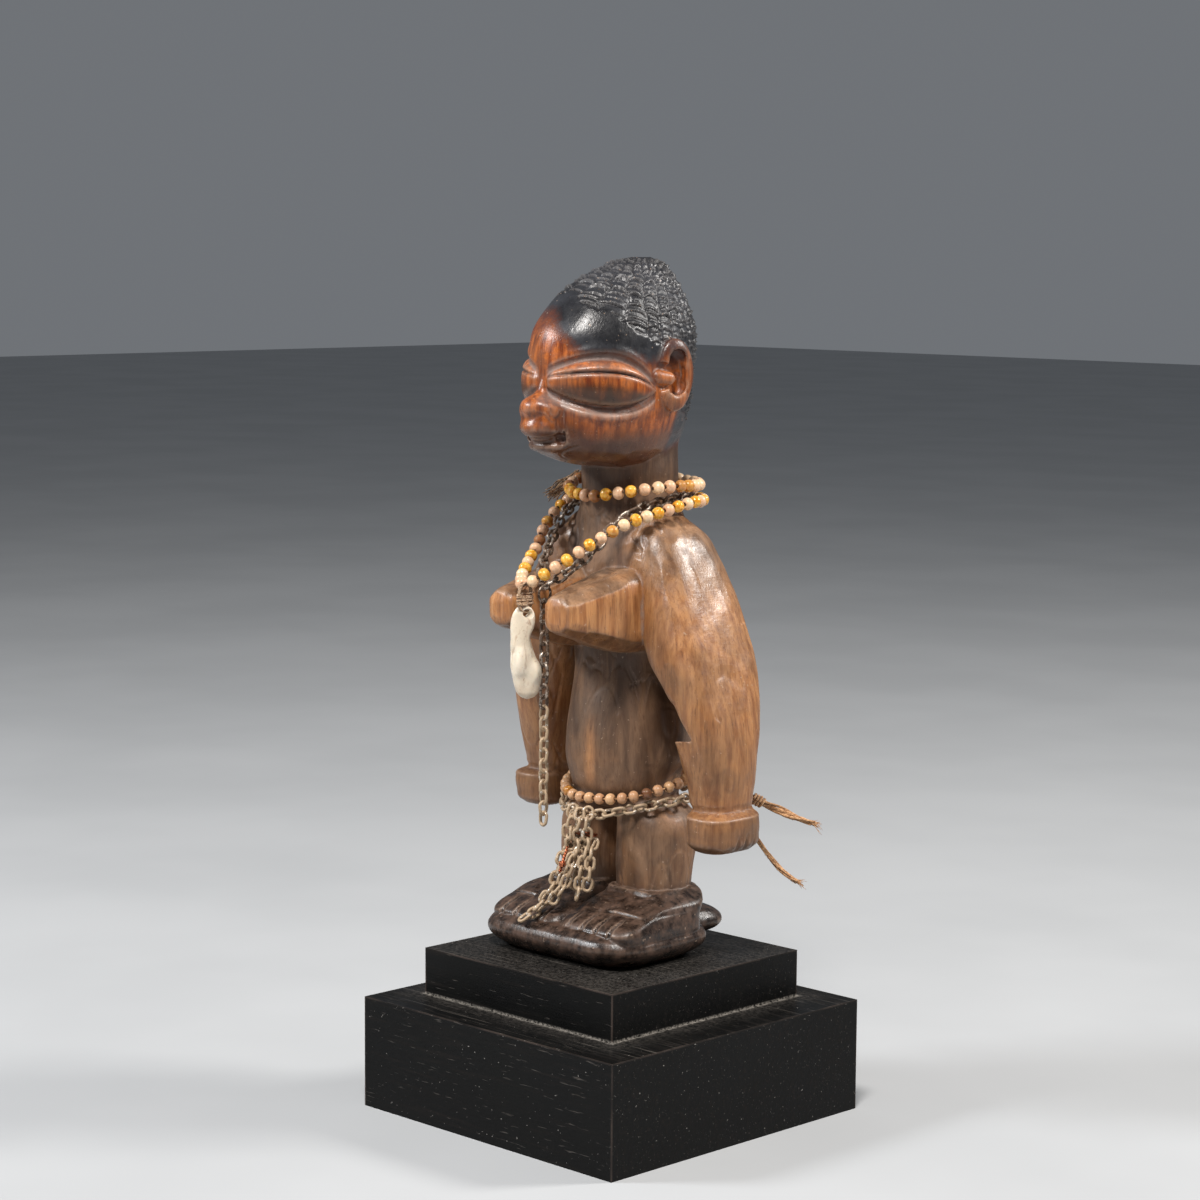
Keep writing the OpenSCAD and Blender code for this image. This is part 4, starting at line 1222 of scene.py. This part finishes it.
def metal_paint(name, dark, pale, grime_and_shade, grimy, roughness, bare):
    """Old wire: pale where it rubs, dull brown between."""
    p = Paint(name, metallic=1.0, roughness=roughness)
    cloud = p.noise(380, 5, 0.65)
    fine = p.noise(1800, 3, 0.6)
    colour = p.mix(p.range(cloud, 0.35, 0.65), dark, pale)
    dirty = p.plus(cloud, p.range(fine, 0.3, 0.7, -0.1, 0.1))
    dirty = p.range(dirty, 0.62 - grimy * 0.3, 0.72 - grimy * 0.3, 1, 0)
    colour = p.over(colour, (p.times(p.value("tone"), 0.3), dark), (dirty, grime_and_shade))
    rough = p.plus(p.range(fine, 0.3, 0.7, roughness - 0.06, roughness + 0.1), p.times(dirty, 0.25))
    return p.done(colour, rough, p.bump(p.plus(cloud, fine), 0.0001, 0.5), p.range(dirty, 0, 1, bare, 0.2))


DARK_CHAIN = metal_paint("dark_chain", (118, 102, 88), (204, 192, 178), (92, 72, 56), 0.4, 0.32, 0.7)
PALE_CHAIN = metal_paint("pale_chain", (232, 222, 204), (254, 250, 242), (172, 148, 120), 0.06, 0.27, 0.5)

PITCH = LINK_L - 2 * 1.0 - 0.08


def worn_chain(name, route, seed, material, node):
    rng = np.random.default_rng(seed)
    count = 2 * math.ceil(ring_length(route) / (2 * PITCH))
    soup = Soup()
    for k, (place, direction) in enumerate(zip(*spaced_ring(route, count))):
        roll = 90 * (k % 2) + 45 * min(1, min(k, count - k) / 5)
        add_link(soup, place, aim(direction) @ turned("Z", roll), rng)
    soup.make(name, material, FIXED, [node])


worn_chain("neck_links", CHAIN, 31, DARK_CHAIN, "neck_chain")
worn_chain("waist_links", WAIST_CHAIN, 32, PALE_CHAIN, "waist_chain")

# Short ends of the waist chain, hanging in front of the tassel's ring and loop
CHAIN_ENDS = [
    [[-11.4, -9.6, 112.4], [-12.0, -11.0, 108.6], [-12.2, -11.4, 104.4], [-12.0, -11.2, 100.2],
     [-11.8, -11, 96]],
    [[-6.6, -10.4, 111.8], [-6.4, -11.6, 108], [-6.2, -11.8, 103.6], [-6.0, -11.8, 99.6], [-5.8, -11.4, 95]],
    [[-9.4, -10.2, 112], [-9.2, -12.0, 107.4], [-9.0, -12.6, 103.2], [-9.2, -12.8, 99]],
    [[-3.4, -9.2, 112.4], [-3.2, -10.0, 108.4], [-2.8, -10.2, 104], [-2.4, -10, 99]],
]


def hang_links(soup, route, origin, start, more, rng, skew, swapped=0, loose=0):
    """Links down a strand, each turned a quarter from the last."""
    curve = open_curve(route)
    along = walked(curve)
    for k in range(int(along[-1] / PITCH) + more):
        place, ahead, behind = (
            at_distance(curve, along, np.clip(start + k * PITCH + d, 0, along[-1])) for d in (0, 1, -1)
        )
        roll = 45 + 90 * ((k + swapped) % 2) + (rng.uniform(-loose, loose) if loose else 0)
        add_link(soup, place + origin, hang_down(unit(ahead - behind)) @ turned("Z", roll), rng, skew)


def make_chain_ends():
    rng = np.random.default_rng(36)
    soup = Soup()
    for route in CHAIN_ENDS:
        hang_links(soup, route, 0, 0, 1, rng, 6.0, rng.integers(0, 2))
    soup.make("chain_ends", PALE_CHAIN, FIXED)


make_chain_ends()

RING_R = 3.0
HANG = 1.5 + 0.08
RING_DROP = 1.6 - 1 - 0.08 + RING_R


def wire_ring(name, middle, material, node):
    angle = circle(48)
    line = stack(0.18 * np.sin(angle / 2), RING_R * np.cos(angle), RING_R * np.sin(angle))
    soup = Soup()
    soup.add(*sweep(line + middle, 0.5, 10, closed=True), tone=0.4)
    soup.make(name, material, FIXED, [node])


chain_ring_at = np.array(CHAIN[0]) - [0, 0, RING_DROP]
tail_pivot = chain_ring_at - [0, 0, RING_R]
wire_ring("tail_ring", chain_ring_at, DARK_CHAIN, "chain_ring")

TAIL_LINKS = 21
TAIL_SPLIT = TAIL_LINKS // 2


def chain_tail(name, first, last, body, seed, material, node):
    rng = np.random.default_rng(seed)
    soup = Soup()
    for k in range(first, last):
        drop = 3.0 - HANG + k * PITCH
        add_link(soup, tail_pivot - [0, 0, drop], turned("Z", 90 * (k % 2)), rng, 3.0)
    soup.make(name, material, body, [node])


chain_tail("tail_upper", 0, TAIL_SPLIT, "chain_tail_upper", 33, DARK_CHAIN, "chain_tail_upper")
chain_tail(
    "tail_lower", TAIL_SPLIT, TAIL_LINKS, "chain_tail_lower", 34, PALE_CHAIN, "chain_tail_lower"
)

tassel_ring_at = np.array(WAIST_CHAIN[0]) - [0, 0, RING_DROP]
loop_at = tassel_ring_at - [0, 0, RING_R - HANG + 2.5]
tassel_pivot = loop_at - [0, 0, 2.0]
wire_ring("waist_ring", tassel_ring_at, PALE_CHAIN, "tassel_ring")

STRANDS = [
    [[-5.4, 0.4, 0.6], [-6.2, -3.8, -4.8], [-6.2, -6.6, -11.4], [-6.6, -8.8, -17.8], [-7.8, -11.6, -23.2],
     [-9.2, -14.8, -26.4], [-10.8, -18.6, -28], [-12.2, -22, -30.4]],
    [[-2.7, 0.4, 0.6], [-3.4, -0.4, -5], [-3.4, -0.8, -10.6], [-3, -1.4, -16], [-2.4, -1.8, -20.6]],
    [[0, 0.4, 0.6], [-0.2, -4.2, -4.4], [-0.8, -7.2, -9.6], [-1.6, -9.6, -15.2], [-2.6, -11.8, -20.2],
     [-3.8, -13.6, -24.4]],
    [[2.7, 0.4, 0.6], [3.6, -0.4, -5], [4, -0.6, -10.6], [3.6, -0.8, -15.6], [2.8, -1, -20]],
    [[5.4, 0.4, 0.6], [7.2, -3.4, -4.8], [8, -5, -10.6], [7.6, -5.8, -16], [5.8, -6.2, -20.4]],
    [[-4.4, -0.6, 0.4], [-4.6, -5.8, -5.2], [-4.4, -9, -11.4], [-5, -11.2, -16.8], [-6.2, -13.6, -21.2],
     [-7.6, -16.4, -24.6], [-9.2, -19.8, -27]],
    [[1.4, -0.6, 0.4], [1.6, -5.4, -5], [1.4, -8.4, -10.4], [0.8, -10.4, -15.6], [-0.4, -12, -19.8],
     [-1.4, -13.2, -23]],
    [[3.9, 0, 0.5], [5.2, -4.4, -4.9], [5.4, -6.6, -10.6], [5.2, -7.6, -16], [4.6, -8.2, -21]],
]


def make_tassel():
    rng = np.random.default_rng(35)
    soup = Soup()
    for strand in STRANDS:
        hang_links(soup, strand, tassel_pivot, 3.0 - HANG + 0.6, 0, rng, 2.0, loose=16)
    soup.make("tassel", PALE_CHAIN, "tassel", ["tassel_chains"])


make_tassel()


def copper_paint():
    p = Paint("copper", metallic=1.0)
    cloud = p.noise(500, 4, 0.6)
    colour = p.mix(p.range(cloud, 0.35, 0.65), (112, 62, 42), (206, 128, 92))
    return p.done(colour, p.range(cloud, 0.3, 0.7, 0.28, 0.5), p.bump(cloud, 0.0001, 0.4))


def make_copper():
    """A loop of doubled, twisted wire, and its twisted end that hangs among the strands."""
    material = copper_paint()
    line = link_line(13, 4.4, 1.0, 60) @ turned("Z", 90).T @ turned("Y", 90).T
    soup = Soup()
    soup.tube(line + loop_at, 0.52, 12, closed=True, lobes=2, depth=0.16, twist=0.45)
    soup.make("copper_wire", material, FIXED, ["copper_loop"])
    tail = Soup()
    t = np.linspace(0, 1, 40)
    middle = tassel_pivot + stack(1.2 - 0.5 * t, -9.4 - 3.6 * t, -1.4 - 9.4 * t)
    for phase in (0, math.pi):
        turn = TAU * 4.5 * t + phase
        tail.tube(middle + stack(np.cos(turn), np.sin(turn), 0 * t) * 0.34, 0.3, 7)
    turn = np.linspace(0, TAU * 3, 60)
    tail.tube(stack(1.05 * np.cos(turn), 1.05 * np.sin(turn), np.linspace(0.8, -0.8, 60)) + middle[26], 0.28, 7)
    tail.make("copper_twist", material, "tassel")


make_copper()


# Pendant, its tie and the knots


def tooth_paint():
    p = Paint("tooth")
    p.fix({"Subsurface Weight": 0.2, "Subsurface Radius": (0.002, 0.0014, 0.001), "Subsurface Scale": 1.0})
    cloud = p.noise(110, 5, 0.6)
    fine = p.noise(900, 4, 0.6)
    crack = p.noise(260, 4, 0.7, 1.0, p.stretched(1, 1, 0.35))
    low = p.range(p.axes(p.place)[2], 0.158, 0.168, 0.55, 0)
    colour = p.over(
        p.mix(p.range(cloud, 0.3, 0.7), (214, 200, 178), (234, 222, 203)),
        (p.range(crack, 0.54, 0.7, 0, 0.75), (150, 106, 70)),
        (p.range(fine, 0.64, 0.74, 0, 0.5), (112, 74, 48)),
        (p.times(low, p.range(cloud, 0.35, 0.6)), (178, 146, 108)),
    )
    rough = p.range(fine, 0.3, 0.7, 0.26, 0.44)
    return p.done(colour, rough, p.bump(p.math("SUBTRACT", cloud, fine), 0.0003, 0.4))


TIE_L, TIE_W, TIE_D = 11.6, 7.4, 0.8
tie_at = np.array(PENDANT_STRAND[0]) - [0, 0, TIE_L / 2 - TIE_D - 0.35 - 0.14]
pendant_pivot = tie_at - [0, 0, (TIE_L - TIE_D) / 2]

TOOTH = [
    [0.9, 0, 0, 0.7, 0.2], [1, 0, 0.5, 2.0, 0.5], [1, 0, 1.6, 3.4, 0.76], [0.9, 0, 4, 4.5, 0.94],
    [0.6, 0, 8, 5.1, 1.02], [0, 0, 12, 5, 1], [-0.6, 0, 15.6, 4.4, 0.94], [-1.3, 0, 19, 4, 0.86],
    [-1.3, 0, 22.4, 3.9, 0.78], [-1, 0, 26, 4.3, 0.66], [-0.6, 0, 29.4, 4.3, 0.52], [-0.4, 0, 32, 3.4, 0.44],
    [-0.4, 0, 33.5, 2, 0.32], [-0.4, 0, 34, 1.0, 0.2],
]


def tooth_field(u, v, z):
    """The pendant about its own foot, its profile in the XZ plane, drilled through near its top."""
    body = loft((u, v, z), [[a, b, c, w, t * 3.75] for a, b, c, w, t in TOOTH], 2.2)
    at = (u, v, z)
    # A bite out of the side, a swelling below it, and hollows that split the foot into lobes
    body = cut(body, rod(at, (5.5, -7, 20.4), (5.2, 7, 24.2), 3.2, 3.2), 1.4)
    body = join(body, ball(at, (3.0, -0.9, 9.8), (3.0, 4.0, 4.4)), 1.6)
    body = join(body, ball(at, (-1.4, -1.2, 13.4), (3.0, 3.7, 5.4)), 2.2)
    body = cut(body, rod(at, (-0.9, -5.4, -1), (0.3, -5.0, 7.6), 1.9, 1.3), 1.4)
    body = cut(body, rod(at, (1.4, -6.0, 6.2), (3.4, -5.4, 15.4), 1.6, 1.8), 1.6)
    body = cut(body, rod(at, (-5.8, -5, 8), (-5.2, -3.6, 17), 1.3, 1.6), 1.8)
    body = cut(body, ball(at, (-3.6, -4.6, 24.6), (1.8, 1.6, 2.4)), 1.2)
    across = np.sqrt(((u + v) / math.sqrt(2)) ** 2 + (z - 31.1) ** 2) - 1.6
    return cut(body, across, 0.5)


def make_pendant():
    points, quads = skin(tooth_field, (-9, -7, -1), (10, 7, 35), 0.62, 2)
    soup = Soup()
    soup.add(points @ turned("Z", 45).T + (pendant_pivot - [0, 0, 34 - 2.6]), quads)
    soup.make("tooth", tooth_paint(), "pendant", ["pendant"])


make_pendant()

TIE = twine_paint("tie_thread", (214, 184, 152), (142, 108, 78), 1.6)


def make_tie():
    """Thread looped through the tooth and over the strand's thread, and wrapped round itself."""
    rng = np.random.default_rng(41)
    soup = Soup()
    loop = link_line(TIE_L, TIE_W, TIE_D, 60) @ turned("Z", 90).T
    for k, (shift, narrow) in enumerate(((0.0, 1.0), (0.45, 0.9), (-0.4, 0.82), (0.15, 0.72))):
        line = loop * [1, narrow, 1 - 0.012 * k] + tie_at + [shift, 0, 0] + rng.normal(0, 0.03, 3)
        soup.tube(line, 0.34, 8, closed=True, lobes=2, depth=0.15, twist=0.6)
    t = np.linspace(0, 1, 150)
    angle = TAU * 5 * t
    wrap = stack(1.3 * np.cos(angle), 3.7 * np.sin(angle), 1.6 - 4.2 * t + 0.25 * np.sin(angle * 0.7))
    soup.tube(wrap + tie_at, 0.36, 8, lobes=2, depth=0.15, twist=0.6)
    bend = np.linspace(0, 1, 7)[:, None]
    for _ in range(10):
        start = tie_at + [rng.uniform(-1.2, 1.2), rng.uniform(-3.4, 3.4), rng.uniform(-2.5, 2)]
        way = unit([rng.normal(0, 1), rng.normal(0, 1), rng.normal(-0.3, 0.6)]) * rng.uniform(1, 2.2)
        soup.tube(start + way * bend + rng.normal(0, 0.5, 3) * bend**2, 0.1, 5)
    soup.make("tie", TIE, "pendant_tie", ["pendant_tie"])


make_tie()


def make_waist_knot():
    """A few interwoven turns of twine, with frayed fibres standing out of them."""
    rng = np.random.default_rng(52)
    soup = Soup()
    middle, turn = np.array([3.0, 42.6, 121.0]), turned("Z", -20)
    a, b, c = 3.4, 2.2, 2.8
    t = circle(120)
    for k in range(3):
        tilt = turned("X", 55 * k + rng.uniform(-12, 12)) @ turned("Y", 20 * k)
        lobe = np.cos(3 * t)
        x, y = a * (0.55 + 0.3 * lobe) * np.cos(2 * t), b * (0.8 + 0.2 * lobe) * np.sin(2 * t)
        line = (stack(x, y, c * 0.7 * np.sin(3 * t)) @ tilt.T) * [0.9, b / c, 0.9]
        soup.tube(line @ turn.T + middle, b * 0.3, 9, closed=True, lobes=3, depth=0.16, twist=0.5)
    s = np.linspace(0, 1, 7)[:, None]
    ends = ((0.7, 0.6, -0.2), (0.3, 0.6, -0.7), (0.1, 0.6, 0.5))
    for k in range(34):
        way = unit(ends[k % 3] + rng.normal(0, 0.42, 3))
        start = middle + rng.normal(0, 0.5, 3) * b
        long = rng.uniform(0.5, 1.0) * a * 1.35
        curl = rng.normal(0, 0.16 * long, 3)
        soup.tube(start + way * long * s + curl * s * s, np.linspace(0.17, 0.06, 7), 5)
    soup.make("twine_knot", TWINE, FIXED, ["waist_knot"])


def make_neck_knot():
    """A rolled strip of brown fibre through the collar's thread, frayed at its lower end."""
    rng = np.random.default_rng(51)
    soup = Soup()
    middle = np.array([-36.2, 9.9, 230.6])
    run = unit([0.54, 0.54, 0.64])
    across = unit(np.cross(run, [0.6, -0.8, 0.0]))
    thick = np.cross(run, across)
    s = np.linspace(-1, 1, 22)[:, None]
    for k in range(34):
        long = rng.uniform(6.0, 8.2)
        off = across * rng.normal(0, 1.25) + thick * rng.normal(0, 0.6) + run * rng.normal(0, 0.6)
        splay = (across * rng.normal(0, 1.1) + thick * rng.normal(0, 0.6)) * ease(-s, 0.1, 1.0) ** 1.5
        twist = across * 0.5 * np.sin(3.0 * s + k) + thick * 0.4 * np.cos(3.0 * s + k)
        line = middle + off * (1 - 0.45 * ease(s, -0.2, 1.0)) + run * long * s + splay + twist * 0.7
        taper = np.linspace(0.2, 0.56, 22) * rng.uniform(0.7, 1.1)
        soup.tube(line, taper, 7, lobes=2, depth=0.25, twist=0.12)
    for turn in (0.9, 1.9):
        angle = circle(40)[:, None]
        ring = middle + run * turn * 1.6 + across * 2.1 * np.cos(angle) + thick * 1.5 * np.sin(angle)
        soup.tube(ring, 0.3, 7, closed=True, lobes=2, depth=0.2, twist=0.5)
    soup.make("collar_knot", FIBRE, FIXED, ["neck_knot"])


FIBRE = twine_paint("fibre", (190, 154, 116), (112, 84, 60), 1.2)
make_neck_knot()
make_waist_knot()


# Floor and light


def make_stage():
    mesh = bpy.data.meshes.new("floor")
    far = 6.0
    mesh.from_pydata([(-far, -far, 0), (far, -far, 0), (far, far, 0), (-far, far, 0)], [], [(0, 1, 2, 3)])
    floor = bpy.data.objects.new("floor", mesh)
    bpy.context.scene.collection.objects.link(floor)
    p = Paint("floor", roughness=0.9, specular=0.1)
    cloud = p.noise(6, 3, 0.5)
    mesh.materials.append(p.done(p.mix(p.range(cloud, 0.3, 0.7), (0.4, 0.41, 0.42, 1), (0.43, 0.44, 0.45, 1))))
    world = bpy.data.worlds.new("studio")
    bpy.context.scene.world = world
    world.use_nodes = True
    background = world.node_tree.nodes["Background"]
    background.inputs["Color"].default_value = (0.8, 0.85, 0.92, 1)
    background.inputs["Strength"].default_value = 0.2
    middle = np.array([0, 0, 0.17])
    right, toward = np.array([0.708, 0.706, 0]), np.array([0.706, -0.708, 0])
    for name, across, front, up, size, power, colour in (
        ("key", -0.12, 0.8, 1.25, 0.36, 25, (1.0, 0.96, 0.92)),
        ("left", -1.2, 0.1, 0.8, 0.36, 15, (0.96, 0.98, 1.0)),
        ("right", 1.15, -0.1, 0.85, 0.34, 17, (1.0, 0.97, 0.93)),
    ):
        data = bpy.data.lights.new(name, "AREA")
        data.shape, data.size, data.energy, data.color = "DISK", size, power, colour
        light = bpy.data.objects.new(name, data)
        place = middle + right * across + toward * front + np.array([0, 0, up])
        light.location = place.tolist()
        away = Matrix.Translation(place - middle).translation
        light.rotation_euler = away.to_track_quat("Z", "Y").to_euler()
        bpy.context.scene.collection.objects.link(light)
    bpy.context.scene.view_settings.view_transform = "Standard"


make_stage()
